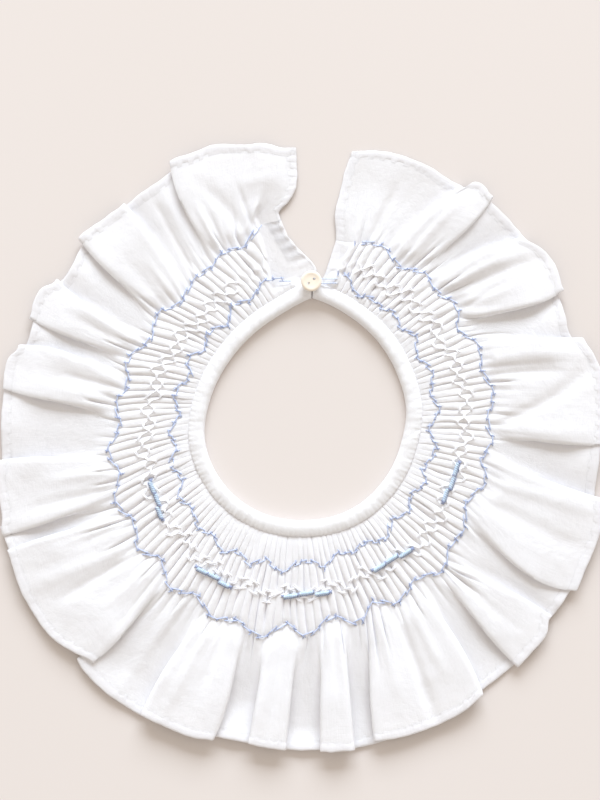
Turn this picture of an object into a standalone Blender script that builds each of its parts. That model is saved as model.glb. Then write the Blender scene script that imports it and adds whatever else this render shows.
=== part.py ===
"""A child's smocked round frill collar, laid flat with its back opening towards +Y.

One long strip of fine cotton is pleated and smocked round the neck and opens into a free frill of
fifteen flutes. A bias binding closes the neck edge, and a button and a thread loop close the back.
Angles are in degrees, clockwise from +Y seen from above, about the middle of the neck opening.
"""
import math
from collections import namedtuple

import bmesh
import bpy
from mathutils import Vector

# Driving dimensions, in millimetres
MM = 0.001
NECK_CENTRE = (1.03, 6.17)
CLOTH = 1.0
SEAM_GAP = 0.3
HEM_WIDTH = 4.2

# The neck opening: the inner edge of the binding, as angle and radius
Edge = namedtuple("Edge", "angle radius")
NECK = [
    Edge(3.4, 57.8), Edge(20, 53.9), Edge(40, 50.4), Edge(60, 47.4), Edge(80, 45.4), Edge(95, 43.2),
    Edge(120, 41.4), Edge(150, 40.4), Edge(180, 39.7), Edge(210, 41.0), Edge(240, 42.6), Edge(265, 43.6),
    Edge(290, 43.2), Edge(315, 44.7), Edge(335, 48.0), Edge(350, 52.0), Edge(363.4, 57.8),
]

# The two short edges of the strip, from the neck seam out to the hem
RIGHT_END = [
    Edge(6.3, 63.5), Edge(7.7, 68.0), Edge(9.2, 78.5), Edge(9.6, 83.8), Edge(8.2, 94.5), Edge(8.4, 101.1),
    Edge(9.0, 113.6), Edge(9.8, 122.7),
]
LEFT_END = [
    Edge(365.0, 64.4), Edge(364.0, 68.5), Edge(358.7, 76.1), Edge(354.0, 87.5), Edge(353.3, 97.0),
    Edge(356.6, 101.5), Edge(358.4, 106.6), Edge(358.2, 122.7),
]

# The outer edge of the smocking: one row for each wave, its outward peak and the dip after it
Wave = namedtuple("Wave", "peak_angle peak_radius dip_angle dip_radius")
WAVES = [
    Wave(24, 87.2, 30, 81.8), Wave(38, 86.6, 43, 83.1), Wave(51, 85.9, 57, 79.6), Wave(64, 84.8, 72, 81.3),
    Wave(78, 84.2, 88, 79.6), Wave(93, 82.4, 99, 78.3), Wave(106, 82.2, 114, 77.2), Wave(123, 82.4, 128, 80.5),
    Wave(135, 86.1, 143, 80.9), Wave(152, 85.7, 158, 79.8), Wave(164, 87.9, 171, 81.6), Wave(180, 90.0, 185, 84.0),
    Wave(192, 92.2, 200, 87.4), Wave(206, 91.4, 213, 85.3), Wave(220, 90.5, 228, 83.3), Wave(234, 89.0, 242, 83.7),
    Wave(249, 88.5, 257, 81.6), Wave(263, 86.3, 271, 80.0), Wave(279, 82.7, 284, 78.7), Wave(292, 82.9, 300, 77.4),
    Wave(309, 81.6, 315, 77.0), Wave(326, 81.6, 330, 81.1), Wave(335, 85.3, 342, 83.5), Wave(348, 91.5, 353, 91.8),
]

# Smocked band: the pleats between the end hem on the right and the plain placket on the left
PLEATS = 136
BAND_START = (9.6, 14.2)
BAND_END = (357.5, 348.6)
BAND_RINGS = (0.0, 0.26, 0.62, 1.0)
RIDGE_HEIGHT = (2.7, 3.2, 3.2, 3.0)
VALLEY_HEIGHT = (1.7, 1.9, 1.9, 1.8)

# The frill: one row for each flute. Each side is given at the smocking, half way and at the hem, then
# the hem's radius at its first side, middle and second side and in the hollow after it, the height of
# its crests, how far its middle sags, and how far the cloth rolls in under each side
Flute = namedtuple("Flute", "first second reach hollow height sag roll")
FLUTES = [
    Flute((25.2, 28.3, 32.4), (36.3, 39.0, 39.3), (126.7, 132.0, 129.4), 126.0, 4.6, 0.0, (1.5, 4.0)),
    Flute((40.9, 43.6, 48.6), (53.9, 60.3, 61.8), (126.6, 131.0, 128.0), 123.6, 5.4, 0.1, (2.5, 4.5)),
    Flute((63.4, 67.2, 71.6), (92.4, 93.2, 93.1), (129.7, 131.7, 129.8), 128.6, 6.2, 0.3, (4.0, 6.0)),
    Flute((96.7, 100.9, 102.8), (118.5, 123.0, 120.8), (132.2, 136.4, 138.0), 133.5, 6.0, 0.25, (5.0, 5.5)),
    Flute((132.4, 128.6, 126.8), (136.8, 138.2, 138.1), (133.9, 138.2, 139.2), 138.4, 5.4, 0.0, (3.0, 4.0)),
    Flute((143.1, 143.4, 145.8), (162.0, 165.4, 167.3), (139.8, 142.2, 136.6), 140.6, 5.8, 0.25, (4.5, 4.5)),
    Flute((167.8, 169.5, 170.9), (175.4, 176.5, 177.2), (140.6, 140.0, 139.4), 138.2, 5.2, 0.0, (3.5, 3.0)),
    Flute((181.2, 182.3, 183.2), (191.0, 190.4, 190.2), (138.6, 138.5, 138.0), 138.2, 5.2, 0.05, (3.0, 3.0)),
    Flute((197.2, 195.5, 196.3), (208.8, 210.4, 209.9), (140.8, 142.4, 143.0), 140.4, 5.8, 0.1, (4.0, 4.5)),
    Flute((222.6, 221.3, 222.1), (245.5, 247.3, 248.0), (137.8, 142.2, 139.2), 138.6, 6.2, 0.3, (5.0, 4.0)),
    Flute((249.4, 249.7, 250.5), (262.6, 264.1, 264.4), (139.1, 135.6, 132.8), 130.4, 6.2, 0.1, (3.5, 5.5)),
    Flute((274.3, 275.8, 277.6), (286.2, 288.3, 286.7), (132.0, 132.8, 130.2), 125.6, 6.0, 0.1, (5.5, 5.0)),
    Flute((291.8, 291.3, 292.0), (300.1, 299.8, 301.5), (128.4, 130.0, 124.4), 121.2, 5.2, 0.0, (4.0, 2.5)),
    Flute((307.6, 308.2, 310.2), (319.6, 321.6, 321.6), (125.8, 126.5, 123.9), 123.0, 5.0, 0.1, (4.5, 2.0)),
    Flute((332.6, 331.1, 333.3), (353.3, 358.4, 358.2), (129.8, 130.2, 122.2), 122.2, 5.2, 0.3, (4.5, 0.0)),
]
CRESTS = (0.27, 0.5, 0.73)
FRILL_RINGS = (0.1, 0.3, 0.52, 0.76, 1.0)
HALF_WAY = 0.45
SLANT_STEP = 1.0

# Columns down a flute's side: distance in from its edge near the smocking and at the hem, where 0 stands
# for the flute's own roll, and height as a share of the crest's
Side = namedtuple("Side", "near hem level reach_share")
SIDE = [Side(-1.6, 0, 0.0, 0.2), Side(-0.5, 0.35, 0.45, 0.7), Side(0.2, 0.0, 0.75, 1.0), Side(0.9, 1.3, 0.95, 1.0)]

# The flat end panel between the right edge's hem and the first flute
Panel = namedtuple("Panel", "across lift reach")
RIGHT_PANEL = [Panel(0.35, 0.9, 125.5), Panel(0.7, 0.4, 126.4)]
FLOOR_NEAR_SMOCKING = 1.2
FLOOR_LIMIT = 0.65
FOLD_REACH = 1.8

# Neck binding, button and thread loop
BINDING_WIDTH = 6.4
BINDING_HEIGHT = 3.4
BINDING_STATIONS = 64
BINDING_CLEAR = 1.4
BUTTON_AT = Edge(2.8, 64.7)
BUTTON_DIAMETER = 9.0
BUTTON_THICKNESS = 2.1
BUTTON_DISH = (5.6, 0.5)
BUTTON_HOLE = 1.1
BUTTON_HOLE_SPACING = 2.9
BUTTON_HOLE_TURN = 38
BUTTON_UNDERSIDE = 4.75
LOOP_THREAD = 0.7
LOOP_SPREAD = 1.9
LOOP_LEVEL = 4.05
LOOP_END = Edge(12.6, 66.4)


def lerp(a, b, share):
    """The value that lies this share of the way from a to b."""
    return a + (b - a) * share


def ease(share):
    """A share that starts and stops gently."""
    share = min(max(share, 0.0), 1.0)
    return share * share * (3 - 2 * share)


def through(values, share):
    """A smooth curve through a value at the smocking, one half way and one at the hem."""
    root, middle, hem = values
    start = (share - HALF_WAY) * (share - 1) / HALF_WAY
    centre = share * (share - 1) / (HALF_WAY * (HALF_WAY - 1))
    end = share * (share - HALF_WAY) / (1 - HALF_WAY)
    return root * start + middle * centre + hem * end


def place(angle, radius, height):
    """A point in metres, from an angle and radius about the neck's centre."""
    turn = math.radians(angle)
    x = NECK_CENTRE[0] + radius * math.sin(turn)
    y = NECK_CENTRE[1] + radius * math.cos(turn)
    return Vector((x, y, height)) * MM


def neck_radius(angle):
    """Inner radius of the binding: a smooth curve through the rows of NECK."""
    angle = NECK[0].angle + (angle - NECK[0].angle) % 360
    step = max(i for i in range(len(NECK) - 1) if NECK[i].angle <= angle)
    here, after = NECK[step], NECK[step + 1]
    before = NECK[max(step - 1, 0)]
    beyond = NECK[min(step + 2, len(NECK) - 1)]
    span = after.angle - here.angle
    slope_here = (after.radius - before.radius) / (after.angle - before.angle) * span
    slope_after = (beyond.radius - here.radius) / (beyond.angle - here.angle) * span
    s = (angle - here.angle) / span
    rise = s * s * (3 - 2 * s)
    pull = s * (1 - s) ** 2 * slope_here - s * s * (1 - s) * slope_after
    return lerp(here.radius, after.radius, rise) + pull


def outside_neck(angle, width):
    """Radius of the line that lies this far outside the neck opening, square to its edge."""
    radius = neck_radius(angle)
    run = 2 * math.radians(SLANT_STEP) * radius
    rise = neck_radius(angle + SLANT_STEP) - neck_radius(angle - SLANT_STEP)
    return radius + width * math.hypot(rise, run) / run


def seam_radius(angle):
    """Where the pleated strip meets the binding."""
    return outside_neck(angle, BINDING_WIDTH + SEAM_GAP)


def outer_row(angle):
    """Outer edge of the smocking: soft waves through the peaks and dips of WAVES."""
    turns = [(WAVES[0].peak_angle - 12, 83.8)]
    for wave in WAVES:
        turns.append((wave.peak_angle, wave.peak_radius))
        turns.append((wave.dip_angle, wave.dip_radius))
    if angle <= turns[0][0]:
        return turns[0][1]
    for (a0, r0), (a1, r1) in zip(turns, turns[1:]):
        if angle <= a1:
            return lerp(r0, r1, ease((angle - a0) / (a1 - a0)))
    return turns[-1][1]


def end_angle(rows, radius):
    """Angle of one of the strip's short edges at a radius."""
    if radius <= rows[0].radius:
        return rows[0].angle
    for low, high in zip(rows, rows[1:]):
        if radius <= high.radius:
            return lerp(low.angle, high.angle, (radius - low.radius) / (high.radius - low.radius))
    return rows[-1].angle


def flat_place(spot):
    """X and Y in millimetres of an angle and radius."""
    point = place(spot.angle, spot.radius, 0) / MM
    return point.x, point.y


def degrees(length, radius):
    """The angle that a length takes up at a radius."""
    return math.degrees(length / radius)


def band_ring(share, ridge, valley):
    """One ring of the smocked band, as angle, radius and top height for each column."""
    start = lerp(*BAND_START, share)
    end = lerp(*BAND_END, share)
    columns = []
    for i in range(2 * PLEATS + 1):
        angle = lerp(start, end, i / (2 * PLEATS))
        columns.append((angle, ridge if i % 2 else valley))
    right = end_angle(RIGHT_END, lerp(seam_radius(start), outer_row(start), share))
    left = end_angle(LEFT_END, lerp(seam_radius(end), outer_row(end), share))
    columns = [(right, CLOTH), (lerp(right, start, 0.7), CLOTH + 0.3)] + columns
    columns += [(lerp(end, left, 0.3), CLOTH), (lerp(end, left, 0.65), CLOTH), (left, CLOTH)]
    ring = []
    for angle, height in columns:
        radius = lerp(seam_radius(angle), outer_row(angle), share)
        ring.append((angle, radius, height))
    return ring


def side_columns(flute, which, angle, radius, share, height, floor):
    """Columns of a flute's first (0) or second (1) side, from the hollow up and over to its top."""
    curl = ease((share - 0.05) / 0.75)
    number = FLUTES.index(flute)
    beside = flute.hollow if which or not number else FLUTES[number - 1].hollow
    inward = -1 if which else 1
    columns = []
    for side in SIDE:
        hem = side.hem if side.level else flute.roll[which]
        out = inward * degrees(lerp(side.near, hem, curl), radius)
        reach = lerp(beside, flute.reach[2 * which], side.reach_share)
        columns.append((angle + out, lerp(floor, height, side.level), reach))
    return columns[::inward]


def frill_ring(share):
    """One ring of the frill's middle surface, as angle, radius and height for each column."""
    floor = lerp(FLOOR_NEAR_SMOCKING, CLOTH / 2, ease(share / 0.35))
    rise = ease(0.35 + share / 0.6)
    edge = RIGHT_END[-1].radius
    radius = lerp(outer_row(RIGHT_END[3].angle), edge, share)
    start = end_angle(RIGHT_END, radius)
    inside_hem = start + degrees(HEM_WIDTH, radius)
    first = through(FLUTES[0].first, share)
    columns = [(start, floor, edge), (inside_hem, floor, edge + 0.8)]
    for panel in RIGHT_PANEL:
        columns.append((lerp(inside_hem, first, panel.across), floor + panel.lift, panel.reach))
    for flute, after in zip(FLUTES, FLUTES[1:] + [None]):
        first, second = through(flute.first, share), through(flute.second, share)
        radius = lerp(outer_row((first + second) / 2), flute.reach[1], share)
        if after is None:
            radius = lerp(outer_row(LEFT_END[3].angle), flute.reach[2], share)
            second = end_angle(LEFT_END, radius)
        height = lerp(floor + 0.9, flute.height, rise)
        columns += side_columns(flute, 0, first, radius, share, height, floor)
        sag = lerp(height, floor, flute.sag * ease(share / 0.4))
        for across in CRESTS:
            near = flute.reach[0] if across < 0.5 else flute.reach[2]
            reach = lerp(near, flute.reach[1], 1 - (2 * across - 1) ** 2)
            columns.append((lerp(first, second, across), sag if across == 0.5 else height, reach))
        if after is None:
            fold = degrees(HEM_WIDTH, radius)
            columns.append((second - 2 * fold, lerp(floor, height, 0.6), flute.reach[2] + 2))
            columns += [(second - fold, floor + 0.7, flute.reach[2] + 0.4), (second, floor + 0.4, flute.reach[2])]
        else:
            columns += side_columns(flute, 1, second, radius, share, height, floor)
            columns.append(((second + through(after.first, share)) / 2, floor, flute.hollow))
    return [(angle, lerp(outer_row(angle), reach, share), height) for angle, height, reach in columns]


def surface_normals(grid):
    """Upward normals of a grid of points: at a fold, midway between those of its two sides."""
    rows, count = len(grid), len(grid[0])
    normals = []
    for j, line in enumerate(grid):
        here = []
        for i, point in enumerate(line):
            across = grid[min(j + 1, rows - 1)][i] - grid[max(j - 1, 0)][i]
            total = Vector((0, 0, 0))
            if i > 0:
                total += (point - line[i - 1]).cross(across).normalized()
            if i < count - 1:
                total += (line[i + 1] - point).cross(across).normalized()
            here.append(total.normalized())
        normals.append(here)
    return normals


def frill_faces():
    """Upper and lower points of the frill, half the cloth's wall to each side of its middle surface."""
    grid = [[place(*column) for column in frill_ring(share)] for share in FRILL_RINGS]
    upper, lower = [], []
    for line, normals in zip(grid, surface_normals(grid)):
        tops, bottoms = [], []
        for point, normal in zip(line, normals):
            offset = normal * (CLOTH / 2 * MM)
            top, bottom = point + offset, point - offset
            if point.z < FLOOR_LIMIT * MM:
                bottom = point - offset * FOLD_REACH
                bottom.z = 0
            bottom.z = max(bottom.z, 0)
            tops.append(top)
            bottoms.append(bottom)
        upper.append(tops)
        lower.append(bottoms)
    return upper, lower


def join_rows(build, near, far):
    """Faces between two rows of vertices. Rows of unlike counts are joined by the shorter diagonals."""
    if len(near) == len(far):
        for i in range(len(near) - 1):
            build.faces.new((near[i], near[i + 1], far[i + 1], far[i]))
        return
    i = j = 0
    while i < len(near) - 1 or j < len(far) - 1:
        near_is_next = j == len(far) - 1
        if i < len(near) - 1 and j < len(far) - 1:
            to_near = (near[i + 1].co - far[j].co).length
            to_far = (far[j + 1].co - near[i].co).length
            near_is_next = to_near < to_far
        if near_is_next:
            build.faces.new((near[i], near[i + 1], far[j]))
            i += 1
        else:
            build.faces.new((near[i], far[j + 1], far[j]))
            j += 1


def strip_mesh():
    """The smocked strip and its frill as one closed solid."""
    build = bmesh.new()
    upper, lower = [], []
    for share, ridge, valley in zip(BAND_RINGS, RIDGE_HEIGHT, VALLEY_HEIGHT):
        ring = band_ring(share, ridge, valley)
        upper.append([build.verts.new(place(a, r, z)) for a, r, z in ring])
        lower.append([build.verts.new(place(a, r, 0)) for a, r, z in ring])
    tops, bottoms = frill_faces()
    upper += [[build.verts.new(p) for p in line] for line in tops]
    lower += [[build.verts.new(p) for p in line] for line in bottoms]
    for near, far in zip(upper, upper[1:]):
        join_rows(build, near, far)
    for near, far in zip(lower, lower[1:]):
        join_rows(build, near, far)
    join_rows(build, upper[0], lower[0])
    join_rows(build, upper[-1], lower[-1])
    for side in (0, -1):
        top_line = [row[side] for row in upper]
        bottom_line = [row[side] for row in lower]
        join_rows(build, top_line, bottom_line)
    bmesh.ops.recalc_face_normals(build, faces=build.faces[:])
    mesh = bpy.data.meshes.new("smocked_frill")
    build.to_mesh(mesh)
    build.free()
    return mesh


def make_material(name, colour, roughness):
    """A Principled material with a colour and a roughness."""
    material = bpy.data.materials.new(name)
    material.use_nodes = True
    shader = material.node_tree.nodes["Principled BSDF"]
    shader.inputs["Base Color"].default_value = (*colour, 1)
    shader.inputs["Roughness"].default_value = roughness
    shader.inputs["Metallic"].default_value = 0
    return material


def add_object(name, data, collection, material):
    """A named object in a collection, with its material."""
    thing = bpy.data.objects.new(name, data)
    collection.objects.link(thing)
    data.materials.append(material)
    return thing


def as_guide(thing):
    """Marks a cutter or a guide that isn't part of the collar."""
    thing.hide_render = True
    thing.display_type = "WIRE"
    return thing


def poly_curve(name, points):
    """An open polyline as a curve."""
    curve = bpy.data.curves.new(name, "CURVE")
    curve.dimensions = "3D"
    curve.twist_mode = "Z_UP"
    spline = curve.splines.new("POLY")
    spline.points.add(len(points) - 1)
    for point, place_at in zip(spline.points, points):
        point.co = (*place_at, 1)
    return curve


def binding_profile(guides):
    """The binding's section: flat below, rounded above, as a closed guide curve."""
    half, top = BINDING_WIDTH / 2, BINDING_HEIGHT
    outline = [(-half, 0), (half, 0), (half, 0.35 * top), (0.72 * half, 0.8 * top), (0.25 * half, top)]
    outline += [(-0.3 * half, 0.98 * top), (-0.78 * half, 0.76 * top), (-half, 0.35 * top)]
    curve = poly_curve("binding_section", [(x * MM, z * MM, 0) for x, z in reversed(outline)])
    curve.splines[0].use_cyclic_u = True
    profile = bpy.data.objects.new("binding_section", curve)
    guides.objects.link(profile)
    return as_guide(profile)


def make_binding(parts, guides, material):
    """The neck binding, swept from the left end of the opening round to the right end."""
    points = []
    clear = degrees(BINDING_CLEAR, NECK[0].radius)
    first, last = NECK[0].angle + clear, NECK[-1].angle - clear
    for i in range(BINDING_STATIONS + 1):
        angle = lerp(first, last, i / BINDING_STATIONS)
        points.append(place(angle, outside_neck(angle, BINDING_WIDTH / 2), 0))
    curve = poly_curve("neck_binding", points)
    curve.bevel_mode = "OBJECT"
    curve.bevel_object = binding_profile(guides)
    curve.use_fill_caps = True
    return add_object("neck_binding", curve, parts, material)


def add_cylinder(name, collection, diameter, depth, centre, sides):
    """A closed cylinder that stands on its centre point."""
    build = bmesh.new()
    bmesh.ops.create_cone(
        build,
        cap_ends=True,
        segments=sides,
        radius1=diameter / 2 * MM,
        radius2=diameter / 2 * MM,
        depth=depth * MM,
    )
    bmesh.ops.translate(build, vec=(0, 0, depth / 2 * MM), verts=build.verts)
    mesh = bpy.data.meshes.new(name)
    build.to_mesh(mesh)
    build.free()
    thing = bpy.data.objects.new(name, mesh)
    thing.location = Vector(centre) * MM
    collection.objects.link(thing)
    return thing


def make_button(parts, guides, material):
    """A round button with a rolled rim, a dished middle and two holes."""
    x_middle, y_middle = flat_place(BUTTON_AT)
    centre = (x_middle, y_middle, BUTTON_UNDERSIDE)
    button = add_cylinder("button", parts, BUTTON_DIAMETER, BUTTON_THICKNESS, centre, 32)
    button.data.materials.append(material)
    rim = button.modifiers.new("rolled rim", "BEVEL")
    rim.width = 0.55 * MM
    rim.segments = 2
    rim.limit_method = "ANGLE"
    dish_width, dish_depth = BUTTON_DISH
    lift = BUTTON_UNDERSIDE + BUTTON_THICKNESS - dish_depth
    cutters = [add_cylinder("button_dish", guides, dish_width, 3, (x_middle, y_middle, lift), 24)]
    turn = math.radians(BUTTON_HOLE_TURN)
    for side in (-1, 1):
        reach = side * BUTTON_HOLE_SPACING / 2
        x = x_middle + reach * math.cos(turn)
        y = y_middle + reach * math.sin(turn)
        cutters.append(add_cylinder("button_hole", guides, BUTTON_HOLE, 6, (x, y, BUTTON_UNDERSIDE - 2), 12))
    for cutter in cutters:
        cut = button.modifiers.new(cutter.name, "BOOLEAN")
        cut.object = as_guide(cutter)
        cut.operation = "DIFFERENCE"
    return button


def make_loop(parts, material):
    """The thread loop: two strands from the right end that pass round under the button."""
    half = LOOP_SPREAD / 2
    x_end, y_end = flat_place(LOOP_END)
    x_turn, y_turn = flat_place(BUTTON_AT)
    points = [(x_end, y_end + half), (x_turn, y_turn + half)]
    for i in range(1, 6):
        turn = math.radians(90 + 180 * i / 6)
        points.append((x_turn + half * math.cos(turn), y_turn + half * math.sin(turn)))
    points += [(x_turn, y_turn - half), (x_end, y_end - half)]
    curve = poly_curve("thread_loop", [(x * MM, y * MM, LOOP_LEVEL * MM) for x, y in points])
    curve.bevel_depth = LOOP_THREAD / 2 * MM
    curve.bevel_resolution = 2
    curve.use_fill_caps = True
    return add_object("thread_loop", curve, parts, material)


def make_collar():
    """Clears the scene and builds the collar's four pieces."""
    for thing in list(bpy.data.objects):
        bpy.data.objects.remove(thing, do_unlink=True)
    parts = bpy.data.collections.new("smocked_collar")
    guides = bpy.data.collections.new("cutters")
    for collection in (parts, guides):
        bpy.context.scene.collection.children.link(collection)
    cotton = make_material("white_batiste", (0.90, 0.91, 0.93), 0.85)
    bias = make_material("white_bias", (0.92, 0.92, 0.93), 0.8)
    cream = make_material("cream_button", (0.88, 0.80, 0.64), 0.35)
    blue = make_material("pale_blue_thread", (0.55, 0.65, 0.85), 0.6)
    add_object("smocked_frill", strip_mesh(), parts, cotton)
    make_binding(parts, guides, bias)
    make_button(parts, guides, cream)
    make_loop(parts, blue)


make_collar()
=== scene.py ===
# %% [markdown]
# A child's round collar of sheer white cotton, laid flat with its back opening away from us. One long
# strip is gathered into 136 pleats that smocking holds round the neck, and it opens into a frill of
# fifteen flutes. The imported CAD part gives the place and size of everything, so it is loaded first.
# Nothing that we make may grow far outside it.

# %% Load the imported collar
import math
from collections import namedtuple

import bmesh
import bpy
import numpy as np
from mathutils import Matrix, Vector, noise


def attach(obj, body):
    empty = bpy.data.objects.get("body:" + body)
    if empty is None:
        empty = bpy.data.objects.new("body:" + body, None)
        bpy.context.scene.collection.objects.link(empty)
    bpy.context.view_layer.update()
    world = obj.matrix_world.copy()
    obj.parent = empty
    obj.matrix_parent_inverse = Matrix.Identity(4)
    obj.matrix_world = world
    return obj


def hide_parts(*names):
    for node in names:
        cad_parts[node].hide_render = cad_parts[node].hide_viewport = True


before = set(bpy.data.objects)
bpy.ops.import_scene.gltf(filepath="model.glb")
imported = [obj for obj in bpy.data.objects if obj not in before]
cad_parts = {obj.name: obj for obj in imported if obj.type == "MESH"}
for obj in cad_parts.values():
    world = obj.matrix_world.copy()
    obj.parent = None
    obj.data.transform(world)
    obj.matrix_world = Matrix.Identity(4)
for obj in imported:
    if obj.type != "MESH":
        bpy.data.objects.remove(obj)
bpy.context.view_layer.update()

MM = 0.001
print("CAD nodes:", sorted(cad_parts))

# %% [markdown]
# A round collar is easiest to describe as a clock: an angle in degrees, clockwise from the back opening
# seen from above, and a radius in millimetres from the middle of the neck. NumPy works on whole rows of
# such places at once, which is both faster and shorter than a loop over points.

# %% Angles and radii
NECK_CENTRE = (1.03, 6.17)


def lerp(a, b, share):
    """The value that lies this share of the way from a to b."""
    return a + (b - a) * share


def ease(share):
    """A share that starts and stops gently."""
    share = np.clip(share, 0.0, 1.0)
    return share * share * (3 - 2 * share)


def place(angle, radius, height):
    """Points in millimetres from angles and radii about the neck's centre."""
    turn = np.radians(angle)
    x = NECK_CENTRE[0] + radius * np.sin(turn)
    y = NECK_CENTRE[1] + radius * np.cos(turn)
    return np.stack(np.broadcast_arrays(x, y, height), axis=-1)


def degrees(length, radius):
    """The angle that a length takes up at a radius."""
    return np.degrees(length / radius)


# %% [markdown]
# The collar's outline comes from a few short tables, the same ones that the CAD part was drawn from: the
# neck opening, the two short edges of the strip, and the waves that bound the smocking. Each row is one
# place that a maker would mark on the pattern, and a smooth curve joins them.

# %% The neck opening and the strip's two ends
Edge = namedtuple("Edge", "angle radius")
NECK = [
    Edge(3.4, 57.8), Edge(20, 53.9), Edge(40, 50.4), Edge(60, 47.4), Edge(80, 45.4), Edge(95, 43.2),
    Edge(120, 41.4), Edge(150, 40.4), Edge(180, 39.7), Edge(210, 41.0), Edge(240, 42.6), Edge(265, 43.6),
    Edge(290, 43.2), Edge(315, 44.7), Edge(335, 48.0), Edge(350, 52.0), Edge(363.4, 57.8),
]
RIGHT_END = [
    Edge(6.3, 63.5), Edge(7.7, 68.0), Edge(9.2, 78.5), Edge(9.6, 83.8), Edge(8.2, 94.5), Edge(8.4, 101.1),
    Edge(9.0, 113.6), Edge(9.8, 122.7),
]
LEFT_END = [
    Edge(365.0, 64.4), Edge(364.3, 68.5), Edge(362.0, 72.0), Edge(359.6, 75.5), Edge(357.2, 80.0),
    Edge(355.2, 84.5), Edge(354.2, 88.5), Edge(353.5, 93.0), Edge(353.3, 95.4), Edge(354.3, 97.2),
    Edge(355.8, 99.0), Edge(357.1, 101.8), Edge(358.1, 105.5), Edge(358.5, 110.0), Edge(358.3, 122.7),
]
BINDING_WIDTH = 6.4
SEAM_TUCK = 0.9
SLANT_STEP = 1.0


def columns_of(rows):
    """The columns of a table as arrays."""
    return [np.array(column, dtype=float) for column in zip(*rows)]


def neck_radius(angle):
    """Inner radius of the binding: a smooth curve through the rows of NECK."""
    angles, radii = columns_of(NECK)
    slopes = np.gradient(radii, angles)
    angle = angles[0] + (np.asarray(angle, dtype=float) - angles[0]) % 360
    step = np.clip(np.searchsorted(angles, angle, side="right") - 1, 0, len(angles) - 2)
    span = angles[step + 1] - angles[step]
    s = (angle - angles[step]) / span
    pull = s * (1 - s) ** 2 * slopes[step] - s * s * (1 - s) * slopes[step + 1]
    return lerp(radii[step], radii[step + 1], ease(s)) + pull * span


def outside_neck(angle, width):
    """Radius of the line that lies this far outside the neck opening, square to its edge."""
    radius = neck_radius(angle)
    run = 2 * math.radians(SLANT_STEP) * radius
    rise = neck_radius(angle + SLANT_STEP) - neck_radius(angle - SLANT_STEP)
    rise = np.where(np.abs(rise) > run, 0, rise)
    return radius + width * np.hypot(rise, run) / run


def seam_radius(angle):
    """Where the pleated strip begins, a little way inside the binding's fold."""
    return outside_neck(angle, BINDING_WIDTH - SEAM_TUCK)


def end_angle(rows, radius):
    """Angle of one of the strip's short edges at a radius."""
    angles, radii = columns_of(rows)
    return np.interp(radius, radii, angles)


# %% The waves of the smocking's outer edge
Wave = namedtuple("Wave", "peak_angle peak_radius dip_angle dip_radius")
WAVES = [
    Wave(24, 87.2, 30, 81.8), Wave(38, 86.6, 43, 83.1), Wave(51, 85.9, 57, 79.6),
    Wave(64, 84.8, 72, 81.3), Wave(78, 84.2, 88, 79.6), Wave(93, 82.4, 99, 78.3),
    Wave(106, 82.2, 114, 77.2), Wave(123, 82.4, 128, 80.5), Wave(135, 86.1, 143, 80.9),
    Wave(152, 85.7, 158, 79.8), Wave(164, 87.9, 171, 81.6), Wave(180, 90.0, 185, 84.0),
    Wave(192, 92.2, 200, 87.4), Wave(206, 91.4, 213, 85.3), Wave(220, 90.5, 228, 83.3),
    Wave(234, 89.0, 242, 83.7), Wave(249, 88.5, 257, 81.6), Wave(263, 86.3, 271, 80.0),
    Wave(279, 82.7, 284, 78.7), Wave(292, 82.9, 300, 77.4), Wave(309, 81.6, 315, 77.0),
    Wave(326, 81.6, 330, 81.1), Wave(335, 85.3, 342, 83.5), Wave(348, 91.5, 353, 91.8),
]
ROW_START = Edge(12, 83.8)


def outer_row(angle):
    """Outer edge of the smocking: soft waves through the peaks and dips of WAVES."""
    turns = [ROW_START]
    for wave in WAVES:
        turns += [Edge(wave.peak_angle, wave.peak_radius), Edge(wave.dip_angle, wave.dip_radius)]
    angles, radii = columns_of(turns)
    angle = np.clip(angle, angles[0], angles[-1])
    step = np.clip(np.searchsorted(angles, angle, side="right") - 1, 0, len(angles) - 2)
    share = (angle - angles[step]) / (angles[step + 1] - angles[step])
    return lerp(radii[step], radii[step + 1], ease(share))


print("seam at the front, mm:", round(float(seam_radius(180.0)), 1), "outer row:", float(outer_row(180.0)))

# %% [markdown]
# Both blue rows of stitches run in zigzags, about six pleats to a wave. The outer one is the line above.
# The inner one has its own marks, which a straight line joins because each run of stitches is straight.

# %% The inner row of stitches
INNER_ROW = [
    Edge(12.5, 70.0), Edge(16.5, 70.3), Edge(19, 64.4), Edge(22, 62.7), Edge(27, 64.8),
    Edge(31.6, 63.1), Edge(38.5, 64.5), Edge(43.5, 60.4), Edge(49.6, 63.9), Edge(57.7, 58.1),
    Edge(64.8, 62.0), Edge(74.6, 56.8), Edge(81.1, 60.2), Edge(90, 53.8), Edge(98.4, 58.7),
    Edge(107.8, 54.1), Edge(113.5, 58.3), Edge(121.1, 53.9), Edge(128, 58.1), Edge(137.3, 53.9),
    Edge(140, 58.6), Edge(144.2, 59.3), Edge(152, 55.1), Edge(157.9, 57.8), Edge(165.4, 55.1),
    Edge(171.5, 60.8), Edge(177, 56.8), Edge(183.1, 57.7), Edge(188.4, 63.5), Edge(197.3, 57.8),
    Edge(200.8, 63.6), Edge(208.7, 59.8), Edge(214, 64.5), Edge(220.9, 59.8), Edge(226.1, 62.8),
    Edge(230.9, 61.4), Edge(236.2, 58.6), Edge(241.1, 63.0), Edge(248.2, 56.2), Edge(255.9, 60.6),
    Edge(261.5, 55.4), Edge(269.2, 59.0), Edge(276.6, 54.1), Edge(286.4, 59.4), Edge(295.2, 53.8),
    Edge(301.7, 60.5), Edge(308.1, 54.9), Edge(316.6, 60.4), Edge(324, 55.7), Edge(330.4, 63.5),
    Edge(337, 60.4), Edge(341.8, 64.1), Edge(344.3, 67.8), Edge(355.8, 65.4),
]


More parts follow.
